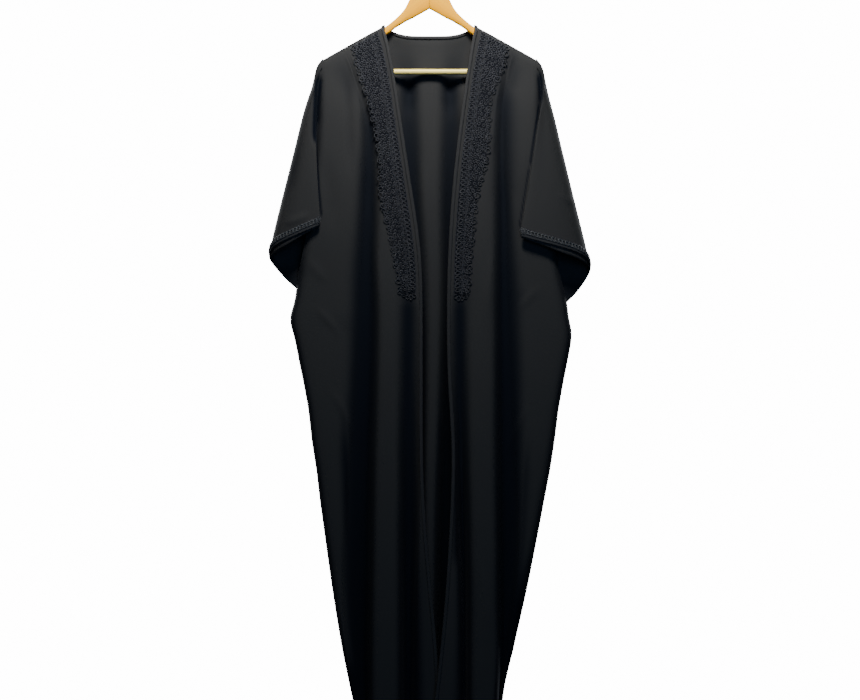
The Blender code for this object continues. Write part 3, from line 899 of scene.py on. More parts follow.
def rowsDown(top, below):
    # rows of cloth, closer together over the shoulder
    return np.concatenate([np.linspace(0, 4, top)[:-1], np.linspace(4, rowCount - 1, below)])


panelRows = rowsDown(panels["topRows"], panels["rows"] - panels["topRows"] + 1)
# where a crease's dark is above 0 it paints shade into the cloth's colour: in valleys, in the sleeves'
# crevices and beside folds
creases = {
    "left": creaseTable("""
        out height toOut toHeight rise width bow fade steep dark
        -232 -742 -176 -812 2.2 5 5 0.4 0.6 0
        -246 -640 -196 -700 1.4 8 -4 0.45 1 0
        -120 -560 -96 -760 1.8 9 3 0.45 1 0
        -205 -900 -150 -1010 1.6 7 6 0.4 0.7 0
        -70 -1020 -48 -1220 1.5 6 -3 0.4 1 0
        -212 -420 -190 -620 -2.4 16 4 0.45 1 0
        -166 -262 -158 -500 -2.6 7 1 0.35 1 0.16
        -144 -262 -142 -470 2.2 9 1 0.4 1 0
        -116 -312 -124 -580 -3 16 1 0.3 1 0.75
        -43 -680 -42 -1300 0 19 0 0.12 1 0.85
        -174 -880 -150 -1460 0 13 0 0.3 1 0.75
        -225.5 -395 -214 -575 -0.6 3 -2 0.1 1 0.9
        -216 -268 -224 -400 -3 6 -1 0.25 1 1
    """),
    "right": creaseTable("""
        out height toOut toHeight rise width bow fade steep dark
        226 -700 170 -762 1.8 6 -5 0.4 0.6 0
        204 -930 150 -1050 1.7 7 -5 0.4 0.7 0
        132 -600 110 -800 1.7 9 -3 0.45 1 0
        70 -980 52 -1190 1.5 6 3 0.4 1 0
        208 -430 186 -640 -2.4 16 -4 0.45 1 0
        158 -310 122 -450 1.6 10 -4 0.4 1 0
        96 -1220 118 -1420 1.4 8 4 0.4 1 0
        61 -680 60 -1300 0 17 0 0.12 1 0.85
        200 -940 168 -1460 0 12 0 0.3 1 0.5
        216 -266 221 -352 -2 5 1 0.3 1 0.9
        219.5 -330 199 -470 -0.6 3 0 0.1 1 0.9
        199.5 -460 177 -598 -0.6 2.6 0 0.1 1 0.8
        172 -190 156 -372 -1.5 14 0 0.4 1 0.4
        149 -230 149 -620 -2.5 26 0 0.3 1 0.7
    """),
    # the two short dark creases just under the bar paint its shadow lower on the back
    "back": creaseTable("""
        out height toOut toHeight rise width bow fade steep dark
        -41 -270 -40 -370 -6 13 0 0.45 1 0
        39 -270 40 -370 -6 13 0 0.45 1 0
        24 -860 16 -1560 0 9 2 0.2 1 0.9
        -41 -280 -41 -330 -2.5 13 0 0.45 1 0.8
        39 -280 39 -326 -2.5 12 0 0.45 1 0.7
        -72 -255 -70 -400 8 14 0 0.45 1 0
        72 -255 70 -400 8 14 0 0.45 1 0
        -20 -420 -10 -640 2 9 3 0.4 1 0
    """),
    "sleeveleft": creaseTable("""
        out height toOut toHeight rise width bow fade steep dark
        -219 -270 -226 -430 -7 7 -2.5 0.2 1 1.6
        -234 -558 -298 -580 2.4 8 3 0.4 1 0
        -262 -330 -286 -560 -2 16 4 0.4 1 0.45
    """),
    "sleeveright": creaseTable("""
        out height toOut toHeight rise width bow fade steep dark
        219.5 -262 219 -356 -5 6 1.5 0.35 1 1.4
        248 -516 304 -540 1.6 7 -3 0.4 1 0
        262 -340 284 -480 -1.2 10 -4 0.4 1 0.05
    """),
}


def blurred(values, apart, width):
    # each value replaced by the mean of its neighbours, the nearer ones counting for more
    share = np.exp(-((apart / width) ** 2))
    return (share * values[None, :]).sum(axis=1) / share.sum(axis=1)


def paintedFoldShade(net, sign):
    # how far each point lies below the ridges beside it, from 0 to 1, blurred across the cloth, used as
    # painted shade in the folds
    found = np.zeros(net.shape[:2])
    reach = panels["ridgeReach"]
    for row, (out, depth) in enumerate(zip(net[..., 0], net[..., 1] * sign)):
        apart = np.abs(out[:, None] - out[None, :])
        top = np.where(apart < reach, depth[None, :], -1e9).max(axis=1)
        gap = np.clip(blurred(top, apart, reach * 0.45) - depth, 0, None) ** 1.5
        found[row] = blurred(gap / (gap + panels["halfDark"] ** 1.5), apart, panels["foldBlur"])
    return found


def paintedGrooveShade(points, table):
    # painted shade darkens the bottom of the grooves that are marked dark
    shade = np.zeros(points.shape[:2])
    for groove in table:
        shade = np.maximum(shade, nearCrease(points, groove) * groove["dark"])
    return np.clip(shade, 0, 1)


def paintFoldShade(piece, near, far, sign):
    # painted fold shade for each point of the wall: first the face towards the front, then the other
    layer = piece.data.attributes.get("fold") or piece.data.attributes.new("fold", "FLOAT", "POINT")
    depth = np.empty(len(piece.data.vertices) * 3, np.float32)
    piece.data.vertices.foreach_get("co", depth)
    halves = np.array_split(depth[1::3], 2)
    faces = (near, far) if halves[0].mean() < halves[1].mean() else (far, near)
    values = [face[::-1] if sign > 0 else face[::-1, ::-1] for face in faces]
    layer.data.foreach_set("value", np.concatenate([part.reshape(-1) for part in values]).astype(np.float32))


def fineNet(key, columns, rows):
    net = coarse[key]
    return smoothNet(net, np.linspace(0, net.shape[1] - 1, columns), rows)


def sewn(node, fine, sign, near, far):
    # one panel of crepe, with painted shade in its folds on the face to the front and on the other
    piece = flatGrid(node + "_cloth", fine, sign)
    thicken(piece, cloak["thick"])
    paintFoldShade(piece, near, far, sign)
    finishPiece(piece, "black_crepe", crepe, node)
    declared(piece, fine)


arms = {side: "hanger_arm_" + side for side in sides}
for side in sides:
    fine = letOutBody(fineNet(side, panels["frontColumns"], panelRows), side)
    fine = creased(fine, creases[side])
    # painted shade: folds and marked grooves darken the front face, folds darken the inside
    shade = np.maximum(paintedFoldShade(fine, -1), paintedGrooveShade(fine, creases[side]))
    sewn("front_" + side, fine, -sides[side], shade, paintedFoldShade(fine, 1))

fine = fineNet("back", panels["backColumns"], panelRows)
fine = creased(letOutBody(letOutBody(fine, "left"), "right"), creases["back"])
# painted shade: folds and marked grooves darken the inside of the back, and below the backShade drops its
# folds darken its outer face
shade = np.maximum(paintedFoldShade(fine, -1), paintedGrooveShade(fine, creases["back"]))
below = ramp(-fine[..., 2], *panels["backShade"])
sewn("back", fine, 1, shade, paintedFoldShade(fine, 1) * below)

for side in sides:
    key = "sleeve" + side
    rows = np.linspace(0, len(coarse[key]) - 1, panels["sleeveRows"])
    fine = creased(fineNet(key, panels["sleeveColumns"], rows), creases[key])
    # painted shade: the back layer of a sleeve, seen through the cuff, darkens towards its rim, and marked
    # grooves darken only the front layer
    hidden = ramp(fine[..., 1], -10, 10)
    shade = paintedGrooveShade(fine, creases[key]) * (1 - hidden)
    height = fine[..., 2] + rims[side]["drop"][-1]
    inside = hidden * ramp(height, *panels["cuffShade"]) * panels["cuffDark"]
    sewn("sleeve_" + side, fine, -sides[side], np.maximum(shade, inside), shade)
print("panels and sleeves made")


lace = {
    "eyelet": (2.45, 1.3),      # radius of a lace ring and of its cord
    "across": 7.2,              # from ring to ring across the band
    "down": 7.4,                # and down it
    "stray": 0.6,
    "swell": (0.82, 1.15),      # the smallest and the largest ring
    "turn": 0.7,                # how far a ring may turn
    "long": (1.0, 1.35),        # a ring is longer than wide
    "flat": (0.55, 0.95),
    "innerRing": (3.9, 1.6),
    "innerDown": 8.6,
    "innerLean": -0.45,
    "innerPetal": (0.42, 1.25, 0.82, 0.8),    # its place across the band and its three sizes
    "innerDot": (0.82, 0.55, 0.85, 0.8),
    "picot": (4.4, 1.15),
    "picotDown": 13.0,
    "endPicots": 7.6,           # from loop to loop along the lower end
    "plain": 11.5,              # bare crepe between the front edge and the lace
    "bandGap": 0.6,             # trimmed off each band where the two meet
    "margin": 1.0,
    "firstRing": 1.6,           # from the side of the wide band
    "firstPicot": 4.0,          # from its upper end
    "picotStand": 1.5,          # how far a loop stands off the edge
    "innerLine": 1.5,           # the fold lines along which petals, rings and loops are spaced
    "outerLine": 3.5,
    "picotLine": 3.6,
    "netLift": 1.25,
    "petalLift": 2.0,
    "ringLift": 1.9,
    "cordLift": 1.8,
    "picotLift": 1.7,
    "cordRadius": 0.8,
    "rows": 150,
    "foldLines": 6.5,           # the lace never reaches further out than this fold line
}


def spots(key, columns, rows, lift=0.0):
    # points on a panel at its fold lines and rows, lifted off the cloth, with the directions across,
    # down and away from it
    net = coarse[key]
    columns, rows = (np.atleast_1d(places).astype(float) for places in (columns, rows))
    columns, rows = np.broadcast_arrays(columns, rows)
    shape = columns.shape
    columns, rows = columns.ravel(), rows.ravel()

    def place(c, r):
        c = np.clip(c, 0, net.shape[1] - 1)
        r = np.clip(r, 0, net.shape[0] - 1)
        found = np.einsum("nk,kcx,nc->nx", weights(net.shape[0], r), net, weights(net.shape[1], c))
        return creased(found, creases[key])

    step, guard = 0.03, 1e-9
    across = unit(place(columns + step, rows) - place(columns - step, rows), guard)
    down = unit(place(columns, rows + step) - place(columns, rows - step), guard)
    out = unit(np.cross(across, down) * facingOut[key], guard)
    points = place(columns, rows) + out * lift
    return [found.reshape(*shape, 3) for found in (points, across, down, out)]


def spot(key, column, row, lift):
    return [found[0] for found in spots(key, column, row, lift)]


def lineAcross(side, row, start, stop):
    # fine places along one row of a front and how far along it each lies
    fine = np.linspace(start, stop, 60)
    return fine, runLength(spots(side, fine, np.full(60, row))[0])


def ruler(key, column, rows):
    # running length down a panel at one fold line
    return runLength(spots(key, np.full(len(rows), column), rows)[0])


def ring(radius, cord):
    # one small cord ring, lying flat, a little pinched at its foot
    pick()
    bpy.ops.mesh.primitive_torus_add(
        major_radius=radius, minor_radius=cord, major_segments=9, minor_segments=4
    )
    made = bpy.context.object
    for vertex in made.data.vertices:
        vertex.co.x *= 1 - 0.12 * vertex.co.y / radius
    return made


def leaning(spotted, angle, size):
    # where a ring goes: its centre, its three directions turned by an angle, and its three sizes
    place, across, down, out = spotted
    turned = across * math.cos(angle) + down * math.sin(angle)
    return place, turned, np.cross(out, turned), out, size


def scatter(name, shape, places, material):
    # copies of one small shape, joined as one piece
    copies = []
    for centre, across, down, out, size in places:
        twin = shape.copy()
        twin.data = shape.data.copy()
        turned = np.stack([across * size[0], down * size[1], out * size[2], centre], axis=1) * mm
        twin.data.transform(Matrix([*turned.tolist(), (0, 0, 0, 1)]))
        if np.linalg.det(turned[:, :3]) < 0:
            twin.data.flip_normals()
        bpy.context.scene.collection.objects.link(twin)
        copies.append(twin)
    bpy.data.objects.remove(shape)
    pick(*copies)
    bpy.ops.object.join()
    copies[0].name = name
    return finishPiece(copies[0], "black_lace", material)


def cordAlong(name, points, radius, fine=1):
    # a round cord or wire through a list of points
    curve = bpy.data.curves.new(name, "CURVE")
    curve.dimensions = "3D"
    curve.bevel_depth = radius * mm
    curve.bevel_resolution = fine
    curve.use_fill_caps = True
    spline = curve.splines.new("POLY")
    spline.points.add(len(points) - 1)
    for point, place in zip(spline.points, points):
        point.co = (*(float(v) * mm for v in place), 1)
    cord = bpy.data.objects.new(name, curve)
    bpy.context.scene.collection.objects.link(cord)
    pick(cord)
    bpy.ops.object.convert(target="MESH")
    return bpy.context.object


def laceBand(name, side, start, stop, count, trims):
    # a flat band on a front between two fold lines, trimmed at its first and last column
    columns = lerp(start[:, None], stop[:, None], np.linspace(0, 1, count)[None, :])
    points = spots(side, columns, laceRows[:, None] * np.ones_like(columns), lace["netLift"])[0]
    points[:, 0] += unit(points[:, 1] - points[:, 0]) * trims[0]
    points[:, -1] += unit(points[:, -2] - points[:, -1]) * trims[1]
    piece = flatGrid(name + "_band", points, facingOut[side])
    thicken(piece, cloak["trimThick"])
    return finishPiece(piece, "black_lace", laceGround, name), points


def columnAt(side, row, out):
    # the fold line of a front at which its cloth is so far out from the middle
    fine = np.linspace(0, lace["foldLines"], 66)
    places = spots(side, fine, np.full(66, row))[0]
    return float(np.interp(out, np.maximum.accumulate(places[:, 0] * sides[side]), fine))


def innerRings(side, begins, seams):
    # one row of slanted petals, each with a dot beside it
    length = ruler(side, lace["innerLine"], laceRows)
    count = int(length[-1] / lace["innerDown"])
    rows = np.interp((np.arange(count) + 0.5) * lace["innerDown"], length, laceRows)
    near, far = np.interp(rows, laceRows, begins), np.interp(rows, laceRows, seams)
    places = []
    across, *petal = lace["innerPetal"]
    for k, spotted in enumerate(zip(*spots(side, lerp(near, far, across), rows, lace["petalLift"]))):
        swell = 1 + 0.12 * math.sin(k * 2.6)
        size = (petal[0] * swell, petal[1] * swell, petal[2])
        places.append(leaning(spotted, lace["innerLean"] + 0.18 * math.sin(k * 1.7), size))
    across, *dot = lace["innerDot"]
    for spotted in zip(*spots(side, lerp(near, far, across), rows + 0.05, lace["ringLift"])):
        places.append((*spotted, dot))
    return scatter("lace_inner_" + side + "_rings", ring(*lace["innerRing"]), places, laceThread)


def outerRings(side, seams, ends):
    # staggered rings, each a little out of place, turned and stretched
    length = ruler(side, lace["outerLine"], laceRows)
    places = []
    for k in range(int(length[-1] / lace["down"])):
        row = float(np.interp((k + 0.5) * lace["down"], length, laceRows))
        fine, run = lineAcross(side, row, np.interp(row, laceRows, seams), np.interp(row, laceRows, ends))
        wide = run[-1] - lace["margin"]
        number = max(int(wide / lace["across"]), 2)
        step = wide / number
        for j in range(number + k % 2):
            shift = 0.5 if k % 2 == 0 else 0.02
            far = lace["firstRing"] + (j + shift) * step + chance.normal(0, lace["stray"])
            if far > run[-1] + lace["margin"]:
                continue
            column = float(np.interp(far, run, fine))
            spotted = spot(side, column, row + chance.normal(0, lace["stray"] * 0.02), lace["ringLift"])
            swell = chance.uniform(*lace["swell"])
            turn = chance.uniform(-lace["turn"], lace["turn"])
            size = (swell, chance.uniform(*lace["long"]) * swell, chance.uniform(*lace["flat"]))
            places.append(leaning(spotted, turn, size))
    return scatter("lace_outer_" + side + "_rings", ring(*lace["eyelet"]), places, laceThread)


def picotLoops(side, begins, ends):
    # loops that stand off the outer edge and the lower end of the lace
    length = ruler(side, lace["picotLine"], laceRows)
    picots = []
    far = lace["firstPicot"]
    while far < length[-1] - 3:
        k = len(picots)
        row = float(np.interp(far, length, laceRows))
        column = float(np.interp(row, laceRows, ends)) + 0.05 * math.sin(k * 1.9)
        place, across, down, out = spot(side, column, row, lace["picotLift"])
        size = 1.0 + 0.3 * math.sin(k * 2.3 + (side == "left"))
        spotted = (place + across * lace["picotStand"], across, down, out)
        picots.append(leaning(spotted, 0.5 * math.sin(k * 1.3), (size, size * 0.85, 1.0)))
        far += lace["picotDown"] * (0.85 + 0.25 * math.sin(k * 2.9))
    fine, run = lineAcross(side, armholeRow, begins[-1], ends[-1])
    for j, far in enumerate(np.arange(3.0, run[-1], lace["endPicots"])):
        row = armholeRow + 0.03 + 0.06 * abs(math.sin(j * 2.1))
        spotted = spot(side, float(np.interp(far, run, fine)), row, lace["picotLift"])
        picots.append((*spotted, (0.8, 0.9 + 0.3 * math.sin(j * 1.7), 1.0)))
    return scatter("lace_picots_" + side, ring(*lace["picot"]), picots, laceThread)


facingOut = {"left": 1, "right": -1, "back": 1, "sleeveleft": 1, "sleeveright": -1}
laceRows = np.linspace(2, armholeRow, lace["rows"])
chance = np.random.default_rng(12)

for side in sides:
    # where the bands begin, meet and end, row by row
    line = spots(side, np.zeros(len(laceRows)), laceRows)[0]
    starts = line[:, 0] * sides[side] + lace["plain"]
    begins, seams, ends = np.array([
        (
            columnAt(side, row, start),
            columnAt(side, row, start + at(laceEdge, "petals", drop)),
            columnAt(side, row, at(laceEdge, side, drop)),
        )
        for row, start, drop in zip(laceRows, starts, -line[:, 2])
    ]).T
    ends = np.maximum(ends, seams + 0.5)

    inner, points = laceBand("lace_inner_" + side, side, begins, seams, 8, (0.0, lace["bandGap"]))
    declared(inner, points, [innerRings(side, begins, seams)])

    outer, points = laceBand("lace_outer_" + side, side, seams, ends, 20, (lace["bandGap"], 0.0))
    trims = [outerRings(side, seams, ends), picotLoops(side, begins, ends)]
    for number, lines in enumerate((begins + 0.03, seams - 0.08, seams + 0.1)):
        line = spots(side, lines, laceRows, lace["cordLift"])[0]
        cord = cordAlong("lace_cord_" + side + str(number), line, lace["cordRadius"])
        trims.append(finishPiece(cord, "black_lace", laceThread))
    declared(outer, points, trims)
print("lace made")


binding = {
    "thick": 0.8,
    "clear": 0.75,
    "edgeWidth": 5.6,
    "neckWidth": 5.2,
    "edgeRows": (20, 180),
    "neckColumns": 70,
    "neckShort": 3,       # the neck tape ends this far from the shoulder seams
    # how far in the tape reaches, as a share of its width, and how far off the cloth it lies
    "face": ((1.0, 0.82), (0.66, 1.08), (0.33, 1.05)),
}


def foldedEdge(node, edge, inner, out, width, sign):
    # a tape folded over a cloth's edge and stitched down on both faces
    reach = cloak["thick"] / 2 + binding["clear"]
    face = [(width * share, reach * off) for share, off in binding["face"]]
    turns = np.linspace(math.pi / 2, -math.pi / 2, 9)
    profile = face + [(-reach * math.cos(turn), reach * math.sin(turn)) for turn in turns]
    profile += [(inward, -off) for inward, off in face[::-1]]
    ahead = unit(inner - edge)
    points = np.stack([edge + ahead * a + out * b for a, b in profile], axis=1)
    piece = flatGrid(node + "_tape", points, sign)
    thicken(piece, binding["thick"])
    finishPiece(piece, "black_binding", bindingLook, node)
    declared(piece, points)


edgeRows = rowsDown(*binding["edgeRows"])
for side in sides:
    edge, _, _, out = spots(side, 0, edgeRows)
    inner = spots(side, 0.4, edgeRows)[0]
    foldedEdge("edge_binding_" + side, edge, inner, out, binding["edgeWidth"], facingOut[side])
neckHalf = cloak["neckPoint"][0] - binding["neckShort"]
neckColumns = np.flatnonzero(np.abs(coarse["back"][0, :, 0]) < neckHalf)
neckColumns = np.linspace(neckColumns[0], neckColumns[-1], binding["neckColumns"])
edge, _, _, out = spots("back", neckColumns, 0)
inner = spots("back", neckColumns, 0.5)[0]
foldedEdge("neck_binding", edge, inner, out, binding["neckWidth"], -facingOut["back"])
print("bindings made")


cuff = {
    "band": 10.0,        # height of the braid above the smooth rim
    "rim": 6.5,
    "lift": 1.9,
    "first": 9.0,        # from the corner to the first motif
    "motif": 7.4,        # from one motif to the next
    "motifRing": (3.0, 0.95),
    "motifLean": 0.75,
    "motifSize": (1.55, 0.85, 1.2),
    "corner": (4.4, 1.2),
    "cornerRise": 4.6,
    "cornerReach": 4.2,
    "cord": 0.75,
    "cordLift": 2.7,
    "motifLift": 3.0,
    "cornerLift": 2.9,
    "columns": 110,
    "facing": 0.9,
    "facingRows": (0.3, 0.02),                  # it begins and turns this far above the last row
    "facingEnd": 9.4,                           # the last column of the sleeve that shows it
    "facingShows": (3.0, 6, 12, 13, 9, 3, 1),   # below the rim, from the fourth column on
}


def rowHeights(key, columns):
    # how long the last row of a sleeve is at each column
    last = len(coarse[key]) - 1
    return np.linalg.norm(spots(key, columns, last)[0] - spots(key, columns, last - 1)[0], axis=1)


def cuffRings(side, columns, heights, run):
    # slanted motifs along the braid and a small flower at its corner
    key = "sleeve" + side
    last = len(coarse[key]) - 1
    places = []
    for far in np.arange(cuff["first"], run[-1] - 2, cuff["motif"]):
        column = float(np.interp(far, run, columns))
        up = (cuff["rim"] + cuff["band"] / 2) / float(np.interp(column, columns, heights))
        spotted = spot(key, column, last - up, cuff["motifLift"])
        places.append(leaning(spotted, cuff["motifLean"], cuff["motifSize"]))
    motifs = scatter("cuff_motifs_" + side, ring(*cuff["motifRing"]), places, cuffThread)
    up = (cuff["rim"] + cuff["cornerRise"]) / heights[1]
    place, across, down, out = spot(key, columns[0] + 0.12, last - up, cuff["cornerLift"])
    corner = []
    for turn in np.arange(6) * math.pi / 3:
        petal = place + (across * math.cos(turn) + down * math.sin(turn)) * cuff["cornerReach"]
        corner.append((petal, across, down, out, (0.5, 0.5, 1.0)))
    corner.append((place, across, down, out, (0.7, 0.7, 1.2)))
    return [motifs, scatter("cuff_corner_" + side, ring(*cuff["corner"]), corner, cuffThread)]


def cuffBraid(side, columns):
    key = "sleeve" + side
    heights = rowHeights(key, columns)
    edges = (cuff["rim"], cuff["rim"] + cuff["band"])
    rows = len(coarse[key]) - 1 - np.linspace(0, edges[1], 12)[:, None] / heights[None, :]
    points = spots(key, columns[None, :], rows, cuff["lift"])[0][::-1]
    piece = flatGrid("cuff_braid_" + side + "_band", points, facingOut[key])
    thicken(piece, cloak["trimThick"])
    finishPiece(piece, "black_lace", cuffGround, "cuff_braid_" + side)
    trims = cuffRings(side, columns, heights, runLength(points[-1]))
    for number, edge in enumerate(edges):
        line = spots(key, columns, len(coarse[key]) - 1 - edge / heights, cuff["cordLift"])[0]
        cord = cordAlong("cuff_cord_" + side + str(number), line, cuff["cord"])
        trims.append(finishPiece(cord, "black_lace", laceThread))
    declared(piece, points, trims)


def cuffFacing(side, columns):
    # turned inside the cuff, it shows as a fine line below the rim
    key = "sleeve" + side
    last = len(coarse[key]) - 1
    shows = np.interp(columns, range(4, 11), cuff["facingShows"])[:, None]
    start, turn = cuff["facingRows"]
    inside = spots(key, columns, last - start, -cuff["lift"])[0]
    rim, _, down, _ = spots(key, columns, last - turn, -cuff["lift"])
    points = np.stack([inside, lerp(inside, rim, 0.5), rim, rim + down * shows * 0.5, rim + down * shows])
    piece = flatGrid("cuff_facing_" + side + "_tape", points, facingOut[key])
    thicken(piece, cuff["facing"])
    finishPiece(piece, "black_binding", bindingLook, "cuff_facing_" + side)
    declared(piece, points)


for side in sides:
    lastColumn = coarse["sleeve" + side].shape[1] - 2
    columns = np.linspace(sleeveShape["innerFold"] + 0.7, lastColumn, cuff["columns"])
    cuffBraid(side, columns)
    cuffFacing(side, columns[columns < cuff["facingEnd"]])
print("cuffs made")


# the wooden arms: the upper and the lower line of each half
armTable = foldTable("""
    topOut topDrop lowOut lowDrop
    0 86 0 148
    12 88.5 8 152.5
    23 99 20 159.2
    31 112 33 166.5
    41 131 46 172.8
    48 145 53 177
    57 157 59 180.6
    70 169.5 70 187.6
    88 183.6 83 198
    112 197.6 106 211
    140 213 133 225
    190 241 180 252
    209 251.5 196 263
    217 259 200 270
    221.5 268 202 277
    221 279 204 283
    214 286 208 286
""")
hanger = {
    "halfThick": 6.8,
    "around": 32,            # points round an arm
    "rings": 90,
    "roundness": 0.72,       # 1 would be an ellipse
    "softEdge": 1.6,
    "tipThin": (6, 0.3),     # the last rings of an arm thin down by this share
    "barDrop": 273.6,
    "barRadius": 5.8,
    "barHalf": 199,          # half its length without the pins
    "barCorner": 2.0,
    "barAround": 28,
    "pin": (3.0, 9.0),       # radius and length
    "wireRadius": 2.1,
    "bend": 24,              # radius of the hook
    "stem": [(0, 0, -107.8), (0, 0, -84), (0, 0, -66), (1.2, 0, -58)],
}


def throughPoints(table, places):
    # a soft line that passes through every row of a table
    first = np.clip(np.floor(places).astype(int), 0, len(table) - 2)
    t = (places - first)[:, None]
    padded = np.vstack([2 * table[0] - table[1], table, 2 * table[-1] - table[-2]])
    a, b, c, d = (padded[first + k] for k in range(4))
    return b + 0.5 * t * (c - a + t * (2 * a - 5 * b + 4 * c - d + t * (3 * (b - c) + d - a)))


def pulledTube(name, rings):
    # a cylinder cut into rings, each pulled to its own outline
    count, around = rings.shape[:2]
    pick()
    bpy.ops.mesh.primitive_cylinder_add(vertices=around, radius=1, depth=2, end_fill_type="NGON")
    made = bpy.context.object
    made.name = name
    bpy.context.tool_settings.mesh_select_mode = (False, True, False)
    bpy.ops.object.mode_set(mode="EDIT")
    bpy.ops.mesh.select_all(action="DESELECT")
    bpy.ops.object.mode_set(mode="OBJECT")
    for edge in made.data.edges:
        ends = [made.data.vertices[i].co.z for i in edge.vertices]
        edge.select = abs(ends[0] - ends[1]) > 1
    bpy.ops.object.mode_set(mode="EDIT")
    bpy.ops.mesh.subdivide(number_cuts=count - 2)
    bpy.ops.object.mode_set(mode="OBJECT")
    for vertex in made.data.vertices:
        row = round((vertex.co.z + 1) / 2 * (count - 1))
        column = round(math.atan2(vertex.co.x, vertex.co.y) / (2 * math.pi) * around) % around
        vertex.co = Vector(rings[row, column]) * mm
    bpy.ops.object.mode_set(mode="EDIT")
    bpy.ops.mesh.select_all(action="SELECT")
    bpy.ops.mesh.normals_make_consistent(inside=False)
    bpy.ops.object.mode_set(mode="OBJECT")
    return made


def woodLook():
    look = {
        "light": (1.0, 0.47, 0.0, 1),
        "deep": (0.92, 0.39, 0.0, 1),
        "pore": (0.52, 0.27, 0.07, 1),
        "lean": (0.80, 0.60),       # the grain runs down each arm
        "bands": 95,
        "pores": 620,
        "cloud": 18,
    }
    material, shader, base = newMaterial(
        "honey wood", Coat_Weight=0.02, Coat_Roughness=0.3, Specular_IOR_Level=0.08
    )
    x, y, z = splitPlace(base, placeOn(base, "Object"))
    out = x.maths("ABSOLUTE")
    along = out * look["lean"][0] - z * look["lean"][1]
    across = out * look["lean"][1] + z * look["lean"][0]
    plank = joinPlace(base, along * 0.05, y * 0.6, across)
    bands, pores, cloud = (noiseAt(base, plank, look[name]) for name in ("bands", "pores", "cloud"))
    colour = mixColour(base, (bands * 0.6 + cloud * 0.4).smooth(0.35, 0.65), look["deep"], look["light"])
    colour = mixColour(base, pores.smooth(0.62, 0.8) * 0.35, colour, look["pore"])
    colour.into(shader, "Base Color")
    (pores * 0.14 + 0.32).into(shader, "Roughness")
    bumpOn(base, shader, pores * 0.5 + bands * 0.3, 0.0001)
    return material


def brassLook():
    look = {
        "light": (1.0, 0.80, 0.24, 1),
        "deep": (0.8, 0.64, 0.192, 1),
        "rough": 0.36,
        "lines": 2200,
        "smear": 60,
    }
    material, shader, base = newMaterial("satin brass", Metallic=0.1)
    place = placeOn(base, "Object")
    x, y, z = splitPlace(base, place)
    lines = noiseAt(base, joinPlace(base, x * 0.02, y, z), look["lines"])
    smear = noiseAt(base, place, look["smear"])
    mixColour(base, smear * 0.5, look["light"], look["deep"]).into(shader, "Base Color")
    (lines * 0.1 + smear * 0.06 + look["rough"]).into(shader, "Roughness")
    bumpOn(base, shader, lines, 0.00003)
    return material


def rounded(values):
    return np.sign(values) * np.abs(values) ** hanger["roundness"]


def armRings(sign):
    # the arm's cross sections from the joint to its tip, with softened ends
    lines = np.stack(list(armTable.values()), axis=1)
    run = np.concatenate([[0], np.cumsum(np.linalg.norm(np.diff(lines[:, 2:], axis=0), axis=1) + 4)])
    even = np.linspace(0, run[-1], hanger["rings"])
    turns = 2 * math.pi * (np.arange(hanger["around"]) + 0.5) / hanger["around"]
    up, aside = rounded(np.cos(turns)), rounded(np.sin(turns))
    edge = hanger["softEdge"]
    thinRings, thinShare = hanger["tipThin"]
    rings = []
    for index, row in enumerate(throughPoints(lines, np.interp(even, run, np.arange(len(run))))):
        fromEnd = min(even[index] + edge - 0.3, even[-1] - even[index])
        tuck = edge - math.sqrt(max(edge * edge - max(edge - fromEnd, 0) ** 2, 0))
        thin = thinShare * ramp(index, hanger["rings"] - thinRings, hanger["rings"])
        half = hanger["halfThick"] * (1 - thin) - tuck
        top, low = np.array([max(row[0], 0), -row[1]]), np.array([max(row[2], 0), -row[3]])
        middle, reach = (top + low) / 2, (top - low) / 2
        reach *= 1 - min(tuck / np.linalg.norm(reach), 0.6)
        flat = middle[None] + up[:, None] * reach[None]
        rings.append(np.stack([sign * flat[:, 0], aside * half, flat[:, 1]], axis=1))
    return np.array(rings)


def barRings():
    # the bar's cross sections from one pin to the other
    radius, half, corner = hanger["barRadius"], hanger["barHalf"], hanger["barCorner"]
    pin, pinLength = hanger["pin"]
    profile = [(0.4, half + pinLength), (pin - 0.4, half + pinLength)]
    profile += [(pin, half + pinLength - 0.5), (pin, half + 0.1)]
    for turn in np.linspace(0, math.pi / 2, 6):
        profile.append((radius - corner * (1 - math.sin(turn)), half - corner * (1 - math.cos(turn))))
    profile += [(radius, x) for x in (120.0, 60.0, 0.0)]
    profile += [(wide, -x) for wide, x in profile[-2::-1]]
    turns = np.linspace(0, 2 * math.pi, hanger["barAround"], endpoint=False)
    wide, x = np.array(profile).T[:, :, None]
    y, z = wide * np.sin(turns), wide * np.cos(turns) - hanger["barDrop"]
    return np.stack([x + 0 * y, y, z], axis=2)


def hookRoute():
    route = list(hanger["stem"])
    middle = -(hanger["bend"] - hanger["wireRadius"])
    for turn in np.radians(np.arange(-64, 208, 6)):
        route.append((hanger["bend"] * math.cos(turn), 0, middle + hanger["bend"] * math.sin(turn)))
    return route


wood, brass = woodLook(), brassLook()
for side in sides:
    arm = pulledTube(arms[side] + "_wood", armRings(sides[side]))
    finishPiece(arm, "honey_wood", wood, arms[side])
finishPiece(pulledTube("trouser_bar_brass", barRings()), "brass", brass, "trouser_bar")
hook = cordAlong("hanger_hook_wire", hookRoute(), hanger["wireRadius"], 4)
finishPiece(hook, "brass", brass, "hanger_hook")
print("hanger made")


studio = {
    "floorDrop": 1.85,
    "floorSize": 4.0,
    "floorColour": (0.85, 0.85, 0.84, 1),
    "floorGlow": (0.75, 0.75, 0.74, 1),
    "cameraDistance": 5.0,
    "view": (0.001, -0.830),
    "frameWidth": 1.72,
    "sensor": 36.0,
    "world": 0.02,
    "backdrop": 15.0,
}
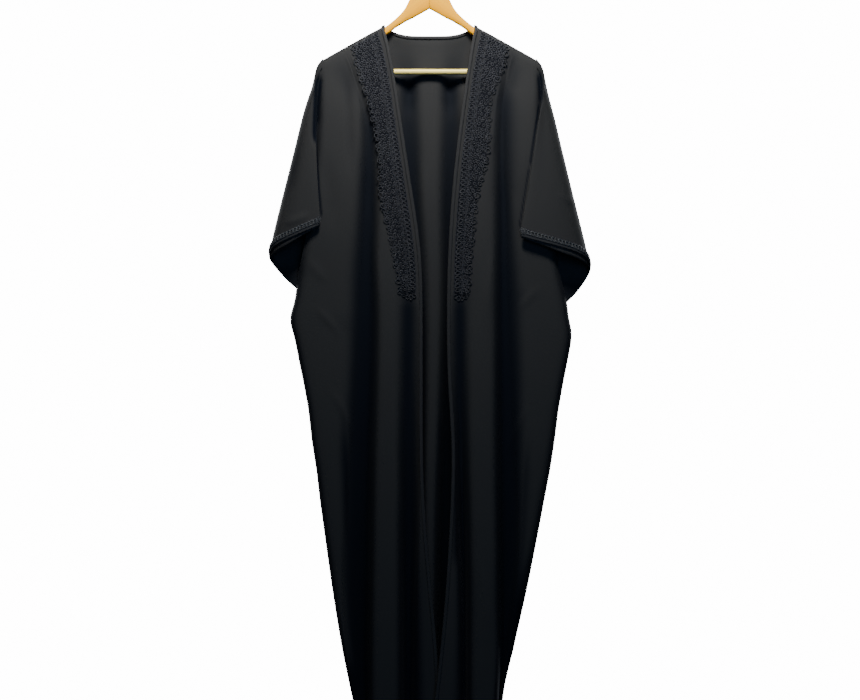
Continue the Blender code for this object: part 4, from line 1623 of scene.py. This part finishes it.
# each light's place, what it points at, its size, power, colour and spread
lights = {
    "key": ((-0.03, -0.76, 0.50), (0, 0, -0.18), 0.3, 9.0, (1.0, 0.98, 0.95), 104),
    "back left": ((-2.2, 2.3, 0.7), (0, 0, -0.7), 1.2, 55, (0.95, 0.98, 1.0), 110),
    "back right": ((2.2, 2.3, 0.7), (0, 0, -0.7), 1.2, 55, (0.95, 0.98, 1.0), 110),
    "fill": ((0.6, -3.5, -0.2), (0, 0, -0.8), 2.0, 23, (0.25, 0.52, 1.0), 180),
}
bpy.ops.mesh.primitive_plane_add(size=studio["floorSize"], location=(0, 0, -studio["floorDrop"]))
floor = bpy.context.object
floor.name = "studio_floor"
floorLook, shader, base = newMaterial("pale floor", Roughness=0.9, Emission_Strength=1.0)
seen = base.get("ShaderNodeLightPath", "Is Camera Ray")
mixColour(base, seen, (0.03, 0.03, 0.03, 1), studio["floorColour"]).into(shader, "Base Color")
mixColour(base, seen, (0, 0, 0, 1), studio["floorGlow"]).into(shader, "Emission Color")
floor.data.materials.append(floorLook)

world = bpy.data.worlds.new("studio")
bpy.context.scene.world = world
world.use_nodes = True
seen = Socket(world.node_tree).get("ShaderNodeLightPath", "Is Camera Ray")
background = world.node_tree.nodes["Background"]
background.inputs["Color"].default_value = (1, 1, 1, 1)
(seen * (studio["backdrop"] - studio["world"]) + studio["world"]).into(background, "Strength")


def aimed(name, place, target, size, power, colour, spread):
    data = bpy.data.lights.new(name, "AREA")
    data.shape = "DISK"
    data.size = size
    data.energy = power
    data.color = colour
    data.spread = math.radians(spread)
    light = bpy.data.objects.new(name, data)
    bpy.context.scene.collection.objects.link(light)
    light.location = place
    light.rotation_euler = (Vector(target) - Vector(place)).to_track_quat("-Z", "Y").to_euler()


for name, settings in lights.items():
    aimed(name, *settings)
camera = bpy.data.objects.new("camera", bpy.data.cameras.new("camera"))
bpy.context.scene.collection.objects.link(camera)
camera.data.sensor_width = studio["sensor"]
camera.data.lens = studio["sensor"] * studio["cameraDistance"] / studio["frameWidth"]
camera.location = (studio["view"][0], -studio["cameraDistance"], studio["view"][1])
camera.rotation_euler = (math.radians(90), 0, 0)
bpy.context.scene.camera = camera
print("studio made")
